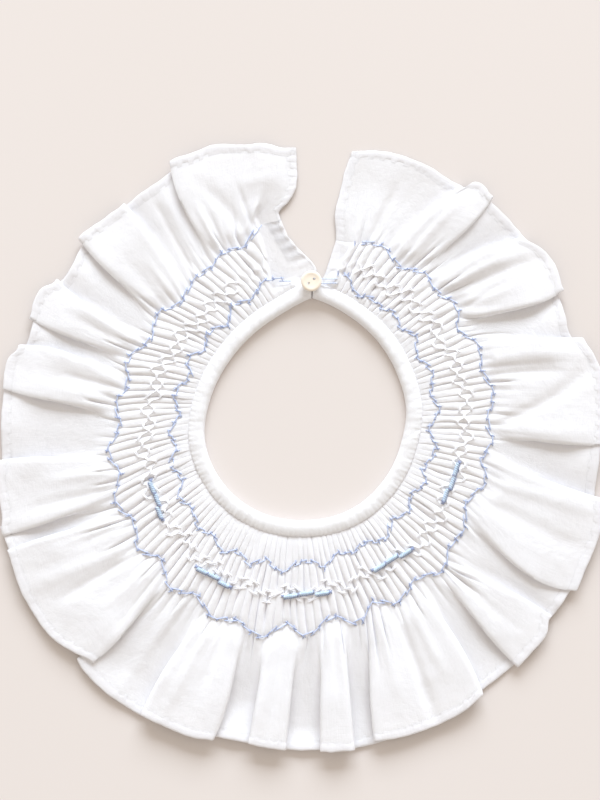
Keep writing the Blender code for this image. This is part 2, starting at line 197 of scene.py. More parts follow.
def inner_row(angle):
    """Radius of the inner row of blue stitches."""
    angles, radii = columns_of(INNER_ROW)
    return np.interp(angle, angles, radii)


def band_share(angle, radius):
    """How far across the smocked band a radius lies: 0 at the neck seam, 1 at the outer row."""
    seam = seam_radius(angle)
    return (radius - seam) / (outer_row(angle) - seam)


# %% [markdown]
# Smocked pleats are narrow tubes of cloth that stand side by side. The stitches pull them about: at each
# node of the white trellis two neighbours are drawn together, and the next row takes the other
# neighbour, which opens small diamonds between them. A pleat's run is therefore a centre line that leans
# towards its partner near each node, plus a little wandering, because hand gathers are never ruled.

# %% Where each pleat's crest runs
PLEATS = 136
BAND_START = (9.6, 14.2)
BAND_END = (357.5, 348.6)
Node = namedtuple("Node", "offset parity pull")
TRELLIS = [Node(-0.085, 1, 0.27), Node(0.0, 0, 0.31), Node(0.085, 1, 0.27)]
NODE_REACH = 0.055
TrellisRow = namedtuple("TrellisRow", "angle middle spread")
TRELLIS_ROWS = [
    TrellisRow(10, 0.52, 1.25), TrellisRow(30, 0.57, 1.2), TrellisRow(60, 0.62, 1.0),
    TrellisRow(95, 0.66, 0.95), TrellisRow(125, 0.66, 0.95), TrellisRow(150, 0.62, 0.8),
    TrellisRow(180, 0.62, 0.6), TrellisRow(215, 0.60, 0.65), TrellisRow(245, 0.60, 0.9),
    TrellisRow(300, 0.58, 1.0), TrellisRow(330, 0.54, 1.2), TrellisRow(350, 0.50, 1.25),
]
hand = np.random.default_rng(11)
WANDER = hand.uniform(0.05, 0.22, PLEATS)
WANDER_PHASE = hand.uniform(0, 2, PLEATS)
CREST_LIFT = hand.uniform(-0.3, 0.25, PLEATS)


def band_angle(pleat, share):
    """Angle of a place along the band, counted in pleats from the right end."""
    return lerp(lerp(*BAND_START, share), lerp(*BAND_END, share), pleat / PLEATS)


def trellis_share(pleat, offset):
    """How far across the band a row of the trellis runs at a pleat."""
    angles, middles, spreads = columns_of(TRELLIS_ROWS)
    angle = band_angle(pleat, 0.5)
    return np.interp(angle, angles, middles) + offset * np.interp(angle, angles, spreads)


def crest_centre(pleat, share):
    """Where the crest of a numbered pleat runs, in pleats from the right end."""
    number = np.clip(pleat, 0, PLEATS - 1).astype(int)
    lean = WANDER[number] * np.sin(np.pi * (2.1 * share + WANDER_PHASE[number]))
    for node in TRELLIS:
        partner = np.where((number + node.parity) % 2 == 0, 1, -1)
        near = np.exp(-(((share - trellis_share(number + 0.5, node.offset)) / NODE_REACH) ** 2))
        lean = lean + node.pull * partner * near
    return number + 0.5 + lean


# %% [markdown]
# Across the band each pleat has a plump, rather flat top and steep sides, as soft cotton has when it is
# packed close. Most valleys between the binding and the first row are only creases, and a few are deep,
# so each valley gets its own depth, which changes along its run. At the collar's left and right the light
# crosses the pleats, and still their shadows are soft, so the valleys there are shallower. The stitches
# also press the crests down a little where they cross.

# %% How high the pleats stand
Level = namedtuple("Level", "share crest depth width")
BAND_LEVELS = [
    Level(0.0, 1.8, 0.25, 1.0), Level(0.05, 2.3, 0.5, 1.0), Level(0.12, 2.7, 0.75, 0.99),
    Level(0.24, 2.9, 0.95, 0.97), Level(0.36, 3.1, 1.6, 0.92), Level(0.62, 3.15, 1.7, 0.87),
    Level(0.86, 3.05, 1.65, 0.88), Level(1.0, 2.8, 1.2, 0.92),
]
SHALLOWER_AT_SIDES = 0.48
ZONES = (0.0, 0.22, 0.42, 0.7, 1.0)
SHALLOWEST = np.array([0.1, 0.12, 0.2, 0.25, 0.25])
DEEPEST = np.array([1.4, 1.4, 1.15, 1.1, 1.1])
MOSTLY_SHALLOW = np.array([2.6, 2.4, 1.4, 1.2, 1.2])
VALLEY_SHARE = lerp(SHALLOWEST, DEEPEST, hand.uniform(0, 1, (PLEATS + 1, len(ZONES))) ** MOSTLY_SHALLOW)
TUBE_SHARE = hand.uniform(0.86, 1.08, (PLEATS, 2))
TUBE_ROUNDNESS = 2.7
PINCH = 0.4
PINCH_REACH = 0.9
BAND_RINGS = 33
ACROSS = np.array([-0.9, -0.74, -0.56, -0.3, 0.0, 0.3, 0.56, 0.74, 0.9, 1.0])
PLACKET_FROM = 346.6
PLACKET_FADE = 1.4
PLACKET_LEVEL = 0.85


def valley_share(valley, share):
    """How deep a numbered valley is here, as a share of the deepest."""
    zone = np.clip(np.searchsorted(ZONES, share, side="right") - 1, 0, len(ZONES) - 2)
    low, high = np.array(ZONES)[zone], np.array(ZONES)[zone + 1]
    depths = VALLEY_SHARE[valley, zone], VALLEY_SHARE[valley, zone + 1]
    return lerp(*depths, ease((share - low) / (high - low)))


def crest_height(pleat, share, angle, radius):
    """Height of a pleat's crest, pressed down at the two blue rows."""
    shares, crests, _, _ = columns_of(BAND_LEVELS)
    height = np.interp(share, shares, crests) + CREST_LIFT[np.clip(pleat, 0, PLEATS - 1)] * ease(share / 0.2)
    for row in (inner_row(angle), outer_row(angle)):
        height = height - PINCH * np.exp(-(((radius - row) / PINCH_REACH) ** 2))
    return height


def pleat_section(share):
    """One ring of the band's pleated part: angles and heights of all its columns."""
    pleats = np.arange(PLEATS)
    spread = np.full(PLEATS, share)
    centres = crest_centre(pleats, spread)
    walls = np.concatenate([[0.0], (centres[1:] + centres[:-1]) / 2, [float(PLEATS)]])
    before = centres[:, None] + (walls[:-1] - centres)[:, None] * -ACROSS
    after = centres[:, None] + (walls[1:] - centres)[:, None] * ACROSS
    across = np.where(ACROSS < 0, before, after)
    angle = band_angle(across, share)
    radius = lerp(seam_radius(angle), outer_row(angle), share)
    shares, _, depths, widths = columns_of(BAND_LEVELS)
    side = np.where(ACROSS < 0, pleats[:, None], pleats[:, None] + 1)
    width = np.interp(share, shares, widths) * np.where(ACROSS < 0, TUBE_SHARE[:, :1], TUBE_SHARE[:, 1:])
    drop = np.interp(share, shares, depths) * valley_share(side, share)
    drop = drop * (1 - SHALLOWER_AT_SIDES * np.sin(np.radians(angle)) ** 2)
    shape = np.sqrt(np.clip(1 - (np.abs(ACROSS) / width) ** TUBE_ROUNDNESS, 0, 1))
    height = crest_height(pleats[:, None], share, angle, radius) - drop * (1 - shape)
    plain = ease((angle - PLACKET_FROM) / PLACKET_FADE) * ease((share - 0.1) / 0.1)
    return angle.ravel(), lerp(height, PLACKET_LEVEL, plain).ravel()


# %% [markdown]
# The band's own ends are plain: a narrow turned edge on the right, and on the left a flat placket that
# carries the button. One grid of points holds the lot, ring by ring from the neck seam outwards. Faces
# between neighbours of a grid are easy to write, and Solidify then gives the cloth its thickness. The
# placket is a single layer, so its points also carry a number that says so, for the material to use.
# The number also rises and falls with the placket's folds, and its tint is darker than the board itself,
# so it paints shade on the placket as well as the board seen through one layer.

# %% The smocked band as a grid of points
END_STEPS = 7
PLACKET_STEPS = 24
EDGE_LEVEL = 0.75
FOLD_SLANT = math.radians(22)
FOLD_PITCH = 4.6
FOLD_DEPTH = 0.24
SINGLE_FROM = 0.3


def wrinkle(x, y, size, seed):
    """Smooth, repeatable unevenness between about -1 and 1, with folds of this size in millimetres."""
    spots = zip(np.ravel(x) / size, np.ravel(y) / size)
    values = [noise.noise(Vector((a, b, seed))) for a, b in spots]
    return np.reshape(values, np.shape(x))


def band_ring(share):
    """One ring of the whole band: the right edge, the pleats and the placket."""
    angle, height = pleat_section(share)
    right = end_angle(RIGHT_END, lerp(seam_radius(angle[0]), outer_row(angle[0]), share))
    left = end_angle(LEFT_END, lerp(seam_radius(angle[-1]), outer_row(angle[-1]), share))
    steps = np.arange(END_STEPS) / END_STEPS
    flat = np.arange(1, PLACKET_STEPS + 1) / PLACKET_STEPS
    angle = np.concatenate([lerp(right, angle[0], steps), angle, lerp(angle[-1], left, flat)])
    start = lerp(EDGE_LEVEL, height[0], ease(steps))
    end = lerp(height[-1], PLACKET_LEVEL, ease(flat / 0.3))
    height = np.concatenate([start, height, end])
    radius = lerp(seam_radius(angle), outer_row(angle), share)
    return place(angle, radius, height), angle


band_shares = np.linspace(0, 1, BAND_RINGS)
rings = [band_ring(share) for share in band_shares]
BAND = np.stack([ring[0] for ring in rings])
BAND_ANGLES = np.stack([ring[1] for ring in rings])
plain_part = BAND[:, -PLACKET_STEPS:]
plain_x, plain_y = plain_part[..., 0], plain_part[..., 1]
slanting = plain_x * math.sin(FOLD_SLANT) - plain_y * math.cos(FOLD_SLANT)
folds = np.sin(2 * np.pi * slanting / FOLD_PITCH + 1.5 * wrinkle(plain_x, plain_y, 9.0, 7.0))
drag = ease(np.arange(PLACKET_STEPS) / (0.6 * PLACKET_STEPS)) * ease(band_shares * 4 - 0.8)[:, None]
plain_part[..., 2] += drag * (FOLD_DEPTH * folds + 0.3 * wrinkle(plain_x, plain_y, 5.0, 3.0))
# Painted shade on the placket: this number darkens it in the material and rises and falls with its folds.
SINGLE_LAYER_AND_SHADE = np.zeros(BAND.shape[:2])
from_pleats = ease(np.arange(1, PLACKET_STEPS + 1) / 4)
from_neck = ease((band_shares - SINGLE_FROM) / 0.3)[:, None]
SINGLE_LAYER_AND_SHADE[:, -PLACKET_STEPS:] = from_pleats * from_neck * (0.8 + 0.2 * folds)
BAND[..., 2] += 0.08 * wrinkle(BAND[..., 0], BAND[..., 1], 1.7, 5.0)
print("band grid:", BAND.shape, "height mm:", BAND[..., 2].min().round(2), BAND[..., 2].max().round(2))


def root_height(angle):
    """Height of the band's outer edge at an angle, where the frill grows from it."""
    return np.interp(angle, BAND_ANGLES[-1], BAND[-1, :, 2])


# %% [markdown]
# The frill could be a cloth simulation, but a simulation puts its folds where it likes. Here each flute
# is drawn as a row of columns across it: down in the hollow, rolled in under its edge, up its
# side, over its shoulder and across its top. A B-spline through the columns rounds every corner, as
# cotton does, and sliding the columns from the smocking to the hem makes the whole frill.
#
# A flute's row gives the angles of its two sides at the smocking, half way and at the hem, its reach at
# the hem at one side, in the middle and at the other, the reach of the hollow after it, its height, how
# far its top sags, and how much cloth is rolled in under each side. The flutes at the collar's left and
# right droop towards the hem, as their short shadows show.

# %% The fifteen flutes
Flute = namedtuple("Flute", "first second reach hollow height sag roll")
FLUTES = [
    Flute((25.2, 28.3, 32.4), (36.3, 39.0, 39.3), (126.4, 132.0, 130.4), 127.8, 4.6, 0.0, (1.5, 4.0)),
    Flute((40.9, 43.6, 48.6), (53.9, 60.3, 61.8), (127.0, 130.6, 128.4), 124.6, 5.4, 0.1, (2.5, 4.5)),
    Flute((63.4, 67.2, 71.6), (92.4, 93.2, 93.1), (129.4, 131.8, 129.8), 128.9, 5.6, 0.1, (4.0, 6.0)),
    Flute((96.7, 100.9, 102.8), (118.5, 123.0, 120.8), (133.2, 136.4, 137.4), 134.8, 5.4, 0.08, (5.0, 5.5)),
    Flute((132.4, 128.6, 126.8), (136.8, 138.2, 138.1), (134.2, 138.4, 138.8), 136.6, 4.3, 0.0, (3.0, 4.0)),
    Flute((143.1, 143.4, 145.8), (162.0, 165.4, 167.3), (138.4, 140.6, 138.8), 140.4, 5.2, 0.2, (4.5, 4.5)),
    Flute((167.8, 169.5, 170.9), (175.4, 176.5, 177.2), (140.6, 140.2, 139.6), 139.4, 6.0, 0.0, (3.5, 3.0)),
    Flute((181.2, 182.3, 183.2), (191.0, 190.4, 190.2), (139.0, 138.7, 138.2), 138.4, 6.1, 0.05, (3.0, 3.0)),
    Flute((197.2, 195.5, 196.3), (208.8, 210.4, 209.9), (140.6, 142.2, 142.4), 143.4, 5.8, 0.1, (4.0, 4.5)),
    Flute((222.6, 221.3, 222.1), (245.5, 247.3, 248.0), (136.6, 142.2, 139.0), 138.4, 5.5, 0.22, (5.0, 4.0)),
    Flute((249.4, 249.7, 250.5), (262.6, 264.1, 264.4), (138.6, 135.8, 133.2), 131.6, 5.7, 0.1, (3.5, 5.5)),
    Flute((274.3, 275.8, 277.6), (286.2, 288.3, 286.7), (132.2, 132.8, 130.0), 126.4, 5.7, 0.1, (5.5, 5.0)),
    Flute((291.8, 291.3, 292.0), (300.1, 299.8, 301.5), (129.0, 130.2, 126.6), 123.6, 5.2, 0.0, (4.0, 2.5)),
    Flute((307.6, 308.2, 310.2), (319.6, 321.6, 321.6), (127.4, 127.6, 126.2), 125.0, 5.0, 0.1, (4.5, 2.0)),
    Flute((332.6, 331.1, 333.3), (353.3, 358.4, 358.2), (129.8, 128.0, 122.2), 122.2, 4.5, 0.3, (4.5, 0.0)),
]
CRESTS = (0.25, 0.38, 0.5, 0.62, 0.75)
DROOP = 0.38
HALF_WAY = 0.45
HEM_WIDTH = 4.2


def through(values, share):
    """A smooth curve through a value at the smocking, one half way and one at the hem."""
    root, middle, hem = values
    start = (share - HALF_WAY) * (share - 1) / HALF_WAY
    centre = share * (share - 1) / (HALF_WAY * (HALF_WAY - 1))
    end = share * (share - HALF_WAY) / (1 - HALF_WAY)
    return root * start + middle * centre + hem * end


# %% [markdown]
# A hollow would lie flat on the board if it were wide. Here the folds on both sides hold it up, by less
# than a millimetre in some and about three in others, which keeps the hollows from being dark slots. Each
# row says where that is, how high the cloth is lifted, over how many degrees, and how far towards the hem
# it starts.

# %% The hollows between the flutes
FLOOR = 0.5
FLOOR_AT_ROOT = 2.0
Lift = namedtuple("Lift", "angle height wide start")
HOLLOW_LIFTS = [
    Lift(40, 2.7, 4, 0.0), Lift(67, 3.1, 5, 0.0), Lift(95.5, 2.8, 5, 0.0), Lift(123.5, 2.7, 4.5, 0.0),
    Lift(142, 0.7, 7, 0.7), Lift(160, 1.2, 10, 0.7), Lift(180, 2.1, 7, 0.8), Lift(193.5, 2.9, 5, 0.6),
    Lift(214, 1.3, 8, 0.72), Lift(220.5, 2.3, 3.5, 0.0), Lift(249, 2.8, 3, 0.0), Lift(272.5, 3.0, 8, 0.0),
    Lift(290, 2.8, 5, 0.0), Lift(305, 3.0, 5, 0.0), Lift(329, 2.5, 5, 0.0),
]


def hollow_height(angle, share):
    """How high the cloth lies in a hollow: on the board at the hem, save where a fold holds it up."""
    height = lerp(FLOOR_AT_ROOT, FLOOR, ease(share / 0.7))
    for lift in HOLLOW_LIFTS:
        near = math.exp(-(((angle - lift.angle) / lift.wide) ** 2))
        height += lift.height * near * ease((share - lift.start) / (1 - lift.start))
    return height


# %% [markdown]
# A flute's side is eight columns. The first stands outside it, in the hollow. The next three are rolled in
# under the flute before the cloth turns up and over, so the frill is one whole sheet and no fold ends in a
# cut edge. Where two flutes nearly meet, the columns stop short of the middle of the gap.

# %% The side of a flute
# Columns up a flute's side: millimetres in from its edge near the smocking and at the hem, how much of
# the flute's own roll is added there, the height as a share of the crest's, and the share of its reach
Side = namedtuple("Side", "near hem roll level reach")
SIDE = [
    Side(-3.6, -1.8, 0.0, 0.0, 0.1), Side(-2.4, -1.4, 1.5, 0.03, 0.4), Side(-1.4, 0.0, 1.5, 0.1, 0.6),
    Side(-0.4, 0.1, 0.75, 0.32, 0.8), Side(0.6, 0.3, 0.0, 0.58, 1.0), Side(1.5, 0.1, 0.0, 0.8, 1.0),
    Side(2.4, 1.1, 0.0, 0.95, 1.0), Side(3.6, 3.0, 0.0, 1.0, 1.0),
]
OUT_OF_GAP = 0.46


def gap_beside(number, which, share):
    """Degrees between a flute's side and its neighbour's, at this share of the way to the hem."""
    after = number + which
    if not 0 < after < len(FLUTES):
        return 20.0
    return max(through(FLUTES[after].first, share) - through(FLUTES[after - 1].second, share), 0.1)


def side_columns(flute, which, angle, radius, share, height):
    """Columns of a flute's first (0) or second (1) side, from the hollow up and over to its top."""
    floor = hollow_height(angle, share)
    curl = ease((share - 0.05) / 0.75)
    number = FLUTES.index(flute)
    beside = flute.hollow if which or not number else FLUTES[number - 1].hollow
    inward = -1 if which else 1
    furthest = -OUT_OF_GAP * gap_beside(number, which, share)
    columns = []
    for side in SIDE:
        out = max(degrees(lerp(side.near, side.hem + side.roll * flute.roll[which], curl), radius), furthest)
        reach = lerp(beside, flute.reach[2 * which], side.reach)
        columns.append((angle + inward * out, reach, lerp(floor, height, side.level)))
    return columns[::inward]


# %% The right end's flat panel, and where the hem is let out or taken in
Panel = namedtuple("Panel", "across lift reach")
RIGHT_PANEL = [Panel(0.3, 0.9, 126.7), Panel(0.55, 0.7, 127.2), Panel(0.8, 0.3, 127.3)]
TRIM_REACH = 3.6
TRIMS = [
    Edge(14, 0.9), Edge(30, -1.3), Edge(70, -2.2), Edge(126, 0.5), Edge(142, 0.6), Edge(150, 0.8),
    Edge(230, 0.6), Edge(286, -0.6), Edge(302, -0.6), Edge(310, 1.3), Edge(318, -1.3), Edge(334, 0.8),
    Edge(341.5, 2.2), Edge(349, -1.2), Edge(354.5, -0.6), Edge(358.5, 1.2),
]

# %% The columns of one ring
def frill_columns(share):
    """All the columns of a ring as rows of angle, radius at the hem and height."""
    floor = hollow_height(RIGHT_END[-1].angle, share)
    rise = ease(0.3 + share)
    edge = RIGHT_END[-1].radius
    radius = lerp(float(outer_row(RIGHT_END[3].angle)), edge, share)
    start = end_angle(RIGHT_END, radius)
    inside_hem = start + degrees(HEM_WIDTH, radius)
    first = through(FLUTES[0].first, share)
    columns = [(start, edge, floor), (inside_hem, edge + 0.8, floor)]
    for panel in RIGHT_PANEL:
        columns.append((lerp(inside_hem, first, panel.across), panel.reach, floor + panel.lift))
    for flute, after in zip(FLUTES, FLUTES[1:] + [None]):
        first, second = through(flute.first, share), through(flute.second, share)
        radius = lerp(float(outer_row((first + second) / 2)), flute.reach[1], share)
        if after is None:
            radius = lerp(float(outer_row(LEFT_END[3].angle)), flute.reach[2], share)
            second = end_angle(LEFT_END, radius)
        aside = math.sin(math.radians((first + second) / 2)) ** 2
        height = lerp(floor + 0.9, flute.height * (1 - DROOP * aside * ease((share - 0.6) / 0.4)), rise)
        columns += side_columns(flute, 0, first, radius, share, height)
        sag = flute.sag * ease(share / 0.4)
        for across in CRESTS:
            bow = 1 - (2 * across - 1) ** 2
            reach = lerp(flute.reach[0], flute.reach[2], across) * (1 - bow) + bow * flute.reach[1]
            columns.append((lerp(first, second, across), reach, lerp(height, floor, sag * bow**2)))
        if after is None:
            fold = degrees(HEM_WIDTH, radius)
            columns.append((second - 2 * fold, flute.reach[2] + 2, lerp(floor, height, 0.6)))
            columns.append((second - fold, flute.reach[2] + 0.4, floor + 0.7))
            columns.append((second, flute.reach[2], floor + 0.4))
        else:
            columns += side_columns(flute, 1, second, radius, share, height)
            middle = (second + through(after.first, share)) / 2
            columns.append((middle, flute.hollow, hollow_height(middle, share)))
    return np.array(columns)


# %% [markdown]
# A cubic B-spline blends four neighbouring columns at a time, so it never overshoots, and the same blend
# serves every ring. The columns of the mesh are then set an even length of cloth apart, measured mostly
# at the hem, where there is the most cloth to shape.

# %% From columns to a smooth sheet
FRILL_COLUMNS = 1040
FRILL_ROWS = 61
FINE_STEPS = 9000
RING_IMPORTANCE = ((0.0, 0.5), (0.5, 0.4), (1.0, 1.0))


def spline_weights(places, count):
    """Cubic B-spline weights of each control column at places counted from 0 to count + 1."""
    ends = np.concatenate([[0, 0], np.arange(count), [count - 1, count - 1]])
    step = np.clip(places.astype(int), 0, count)
    f = places - step
    blend = [(1 - f) ** 3, 3 * f**3 - 6 * f**2 + 4, -3 * f**3 + 3 * f**2 + 3 * f + 1, f**3]
    weights = np.zeros((len(places), count))
    for near, part in enumerate(blend):
        np.add.at(weights, (np.arange(len(places)), ends[step + near]), part / 6)
    return weights


def frill_ring(share, weights):
    """One ring of the frill: its angles, its reach at the hem, its radii and its heights."""
    angle, reach, height = (weights @ frill_columns(share)).T
    for trim in TRIMS:
        reach = reach + trim.radius * np.exp(-(((angle - trim.angle) / TRIM_REACH) ** 2))
    radius = lerp(outer_row(angle), reach, share)
    return angle, reach, radius, height


def lengths(points):
    """Running length along rows of points, in the points' own unit."""
    steps = np.linalg.norm(np.diff(points, axis=-2), axis=-1)
    return np.concatenate([np.zeros(steps.shape[:-1] + (1,)), np.cumsum(steps, axis=-1)], axis=-1)


control_count = len(frill_columns(1.0))
fine = np.linspace(0, control_count + 1 - 1e-6, FINE_STEPS)
fine_weights = spline_weights(fine, control_count)
run = 0
for share, importance in RING_IMPORTANCE:
    angle, _, radius, height = frill_ring(share, fine_weights)
    run = run + importance * lengths(place(angle, radius, height))
column_places = np.interp(np.linspace(0, run[-1], FRILL_COLUMNS), run, fine)
WEIGHTS = spline_weights(column_places, control_count)
hem_line = place(*frill_ring(1.0, WEIGHTS)[0::2], frill_ring(1.0, WEIGHTS)[3])
print("control columns:", control_count, "length along the hem, mm:", round(float(lengths(hem_line)[-1])))

# %% [markdown]
# The creases are what make cloth look laid by hand. Each one is a row of a table: its angles at the
# smocking and at the hem, where it starts and ends between them, how deep or high it is, and how wide.
# Near the left end a low ridge and a dip beside it run the other way, along the hem. Gathers near the
# smocking are different: they are the ends of the pleats themselves, and each dies away at its own
# distance.

# %% Creases in the frill
Crease = namedtuple("Crease", "root hem start end depth width")
CREASES = [
    Crease(20.0, 21.5, 0.0, 0.7, -0.8, 2.6), Crease(30.5, 35.5, 0.05, 0.75, 0.5, 2.4),
    Crease(33.5, 37.0, 0.0, 0.4, -0.7, 1.6), Crease(44.5, 51.5, 0.0, 0.7, 0.7, 2.6),
    Crease(47.5, 54.5, 0.0, 0.95, -0.9, 3.0), Crease(51.0, 59.0, 0.0, 0.6, 0.5, 2.2),
    Crease(68.5, 75.0, 0.0, 1.0, 0.6, 4.0), Crease(73.0, 79.0, 0.0, 0.7, -0.7, 4.5),
    Crease(89.4, 76.7, 0.0, 1.0, -0.9, 4.2), Crease(90.5, 90.5, 0.3, 1.0, 0.3, 3.6),
    Crease(52.4, 55.0, 0.0, 0.6, -0.6, 1.6), Crease(105.5, 105.5, 0.0, 1.0, 0.5, 3.4),
    Crease(111.4, 113.8, 0.0, 1.0, -0.5, 3.8), Crease(116.0, 118.4, 0.0, 1.0, 0.1, 3.0),
    Crease(134.5, 132.5, 0.0, 0.8, -0.4, 2.4), Crease(149.0, 150.5, 0.0, 0.7, 0.6, 3.0),
    Crease(153.3, 155.8, 0.0, 1.0, -1.2, 2.6), Crease(158.0, 161.5, 0.0, 0.8, 0.6, 3.2),
    Crease(171.5, 173.5, 0.0, 0.6, -0.5, 1.8), Crease(186.0, 186.5, 0.0, 0.9, -0.5, 2.6),
    Crease(202.0, 201.5, 0.0, 0.7, -0.6, 2.8), Crease(205.5, 206.5, 0.0, 1.0, 0.5, 2.6),
    Crease(215.5, 215.3, 0.0, 1.0, 1.4, 3.4), Crease(227.5, 228.5, 0.0, 0.6, 0.6, 3.4),
    Crease(233.5, 235.8, 0.0, 0.8, -0.8, 2.6), Crease(236.5, 240.5, 0.05, 1.0, 0.6, 3.6),
    Crease(242.0, 244.5, 0.0, 0.5, -0.6, 2.4), Crease(253.0, 254.5, 0.0, 0.8, -0.6, 2.8),
    Crease(258.0, 259.5, 0.0, 0.6, 0.5, 3.0), Crease(278.5, 280.5, 0.0, 0.8, 0.4, 3.2),
    Crease(282.5, 283.5, 0.0, 0.6, -0.7, 2.4), Crease(295.5, 296.5, 0.0, 0.7, -0.5, 2.4),
    Crease(312.5, 314.5, 0.0, 0.7, -0.3, 3.0), Crease(316.0, 318.5, 0.0, 0.5, 0.5, 2.2),
    Crease(324.9, 327.2, 0.0, 0.9, -0.9, 1.7), Crease(328.0, 329.5, 0.0, 0.9, 0.8, 2.0),
    Crease(334.9, 334.0, 0.0, 0.55, 0.8, 1.8), Crease(336.6, 335.6, 0.0, 0.5, -0.8, 1.5),
    Crease(344.8, 334.3, 0.15, 0.75, -0.8, 3.6), Crease(345.8, 344.0, 0.0, 0.6, -0.7, 1.1),
    Crease(350.5, 354.0, 0.0, 0.4, 0.4, 2.0),
]
Ridge = namedtuple("Ridge", "angle radius height long wide")
CROSS_RIDGES = [Ridge(349.5, 110.6, 0.3, 8.0, 2.6), Ridge(347.0, 103.5, -0.25, 8.0, 4.0)]
GATHER_LENGTH = hand.uniform(0.06, 0.22, PLEATS + 1) + 0.3 * (hand.uniform(0, 1, PLEATS + 1) > 0.75)
GATHER_DEPTH = hand.uniform(0.2, 0.85, PLEATS + 1)
GATHER_WIDTH = hand.uniform(0.14, 0.3, PLEATS + 1)


def crease_height(share, angle, radius):
    """What the creases add to the height, in millimetres."""
    added = np.zeros_like(angle)
    for crease in CREASES:
        if not crease.start <= share <= crease.end + 0.1:
            continue
        middle = lerp(crease.root, crease.hem, share)
        off = np.radians(angle - middle) * radius / (crease.width * (0.55 + 0.6 * share))
        fade = ease((crease.end + 0.1 - share) / 0.35) * ease(0.4 + (share - crease.start) / 0.2)
        added += crease.depth * fade * np.exp(-off * off)
    for ridge in CROSS_RIDGES:
        aside = np.radians(angle - ridge.angle) * radius / ridge.long
        out = (radius - ridge.radius) / ridge.wide
        added += ridge.height * np.exp(-aside * aside - out * out)
    return added


def gather_height(share, root_angle):
    """The ends of the pleats, which fade out as the frill opens."""
    pleat = (root_angle - BAND_START[1]) / (BAND_END[1] - BAND_START[1]) * PLEATS
    number = np.clip(np.round(pleat).astype(int), 0, PLEATS)
    fade = np.exp(-((share / GATHER_LENGTH[number]) ** 1.5))
    fade = fade * (1 - SHALLOWER_AT_SIDES * np.sin(np.radians(root_angle)) ** 2)
    return -GATHER_DEPTH[number] * fade * np.exp(-(((pleat - number) / GATHER_WIDTH[number]) ** 2))


# %% [markdown]
# The frill starts at the height of the pleats' ends and blends into its own flutes over a short way. Its
# first ring is tucked under the band's edge, so that no gap shows where the two meet.

# %% The frill as a grid of points
BLEND_END = 0.18
LOW_BLEND = 0.35
LOW_ROOT = 2.0
ROOT_TUCK = 0.7
ROOT_DROP = 0.16


def frill_surface():
    """The frill's middle surface in millimetres, from the outer blue row to the hem."""
    root_angle = frill_ring(0.0, WEIGHTS)[0]
    start = root_height(root_angle)
    blend = BLEND_END + LOW_BLEND * ease((LOW_ROOT - start) / 0.8)
    rows = []
    for share in np.linspace(0, 1, FRILL_ROWS):
        angle, _, radius, height = frill_ring(share, WEIGHTS)
        on_top = ease(0.2 + (height - FLOOR) / 3.0)
        height = height + crease_height(share, angle, radius) * on_top
        flat = ease(share / blend)
        height = lerp(start, height + gather_height(share, root_angle), flat)
        x, y, _ = place(angle, radius, height).transpose()
        height = height + flat * (0.22 * wrinkle(x, y, 13.0, 1.0) + 0.1 * wrinkle(x, y, 4.5, 2.0))
        rows.append(place(angle, radius, np.maximum(height, FLOOR - 0.12)))
    rows[0] = place(root_angle, outer_row(root_angle) - ROOT_TUCK, start - ROOT_DROP)
    return np.stack(rows)


def sheet_normals(grid):
    """Upward unit normals of a grid of points."""
    normals = np.cross(np.gradient(grid, axis=1), np.gradient(grid, axis=0))
    return normals / np.linalg.norm(normals, axis=-1, keepdims=True)


FRILL = frill_surface()
FRILL_NORMALS = sheet_normals(FRILL)
frill_depth = lengths(FRILL.transpose(1, 0, 2))[:, -1]
across_cloth, down_cloth = FRILL[1:, 1:] - FRILL[:-1, :-1], FRILL[1:, :-1] - FRILL[:-1, 1:]
frill_area = np.linalg.norm(np.cross(across_cloth, down_cloth), axis=-1).sum() / 2
print("frill's cloth as a share of its 52 by 1,120 mm cut:", round(frill_area / (52 * 1120), 3))
print("frill grid:", FRILL.shape, "height mm:", FRILL[..., 2].min().round(2), FRILL[..., 2].max().round(2))
print("frill depth mm:", frill_depth.min().round(1), "to", frill_depth.max().round(1))

# %% [markdown]
# White cotton is hard because there is so little to see. What shows is its weave, a faint slub along the
# threads, and the way light passes between neighbouring folds. The weave here is two sets of fine waves
# on the cloth's own UV map, in metres, so it follows every fold. A noise stretched along each set makes
# the slubs. The colour stays just under pure white, because nothing real returns all the light. The board
# shows a little through a single layer that lies on it. Real transparency would be slow and would hide
# the form, so two tints stand for it, and both also paint shade: one by height above the board, which
# darkens the low cloth in the hollows, and one where points say single layer, which darkens the placket.

# %% Helpers for materials
def new_material(name, colour, roughness):
    """A Principled material with its plain values set on the shader itself."""
    material = bpy.data.materials.new(name)
    material.use_nodes = True
    shader = material.node_tree.nodes["Principled BSDF"]
    shader.inputs["Base Color"].default_value = (*colour, 1)
    shader.inputs["Roughness"].default_value = roughness
    return material, shader


def add_node(material, kind, **values):
    """A node with its input sockets or its own settings given by name."""
    node = material.node_tree.nodes.new(kind)
    for name, value in values.items():
        if name in node.inputs:
            node.inputs[name].default_value = value
        else:
            setattr(node, name, value)
    return node


def link(material, source, target):
    """Joins an output socket to an input socket."""
    material.node_tree.links.new(source, target)


def bump_chain(material, shader, layers):
    """Bump nodes one after another, each with a height socket and a depth in metres."""
    normal = None
    for height, depth in layers:
        bump = add_node(material, "ShaderNodeBump", Strength=1.0, Distance=depth)
        link(material, height, bump.inputs["Height"])
        if normal is not None:
            link(material, normal, bump.inputs["Normal"])
        normal = bump.outputs["Normal"]
    link(material, normal, shader.inputs["Normal"])


def colour_between(material, factor, low, high):
    """A colour ramp from one colour to another, driven by a factor socket."""
    ramp = add_node(material, "ShaderNodeValToRGB")
    ramp.color_ramp.elements[0].color = (*low, 1)
    ramp.color_ramp.elements[1].color = (*high, 1)
    ramp.color_ramp.elements[0].position = 0.3
    ramp.color_ramp.elements[1].position = 0.7
    link(material, factor, ramp.inputs["Fac"])
    return ramp.outputs["Color"]


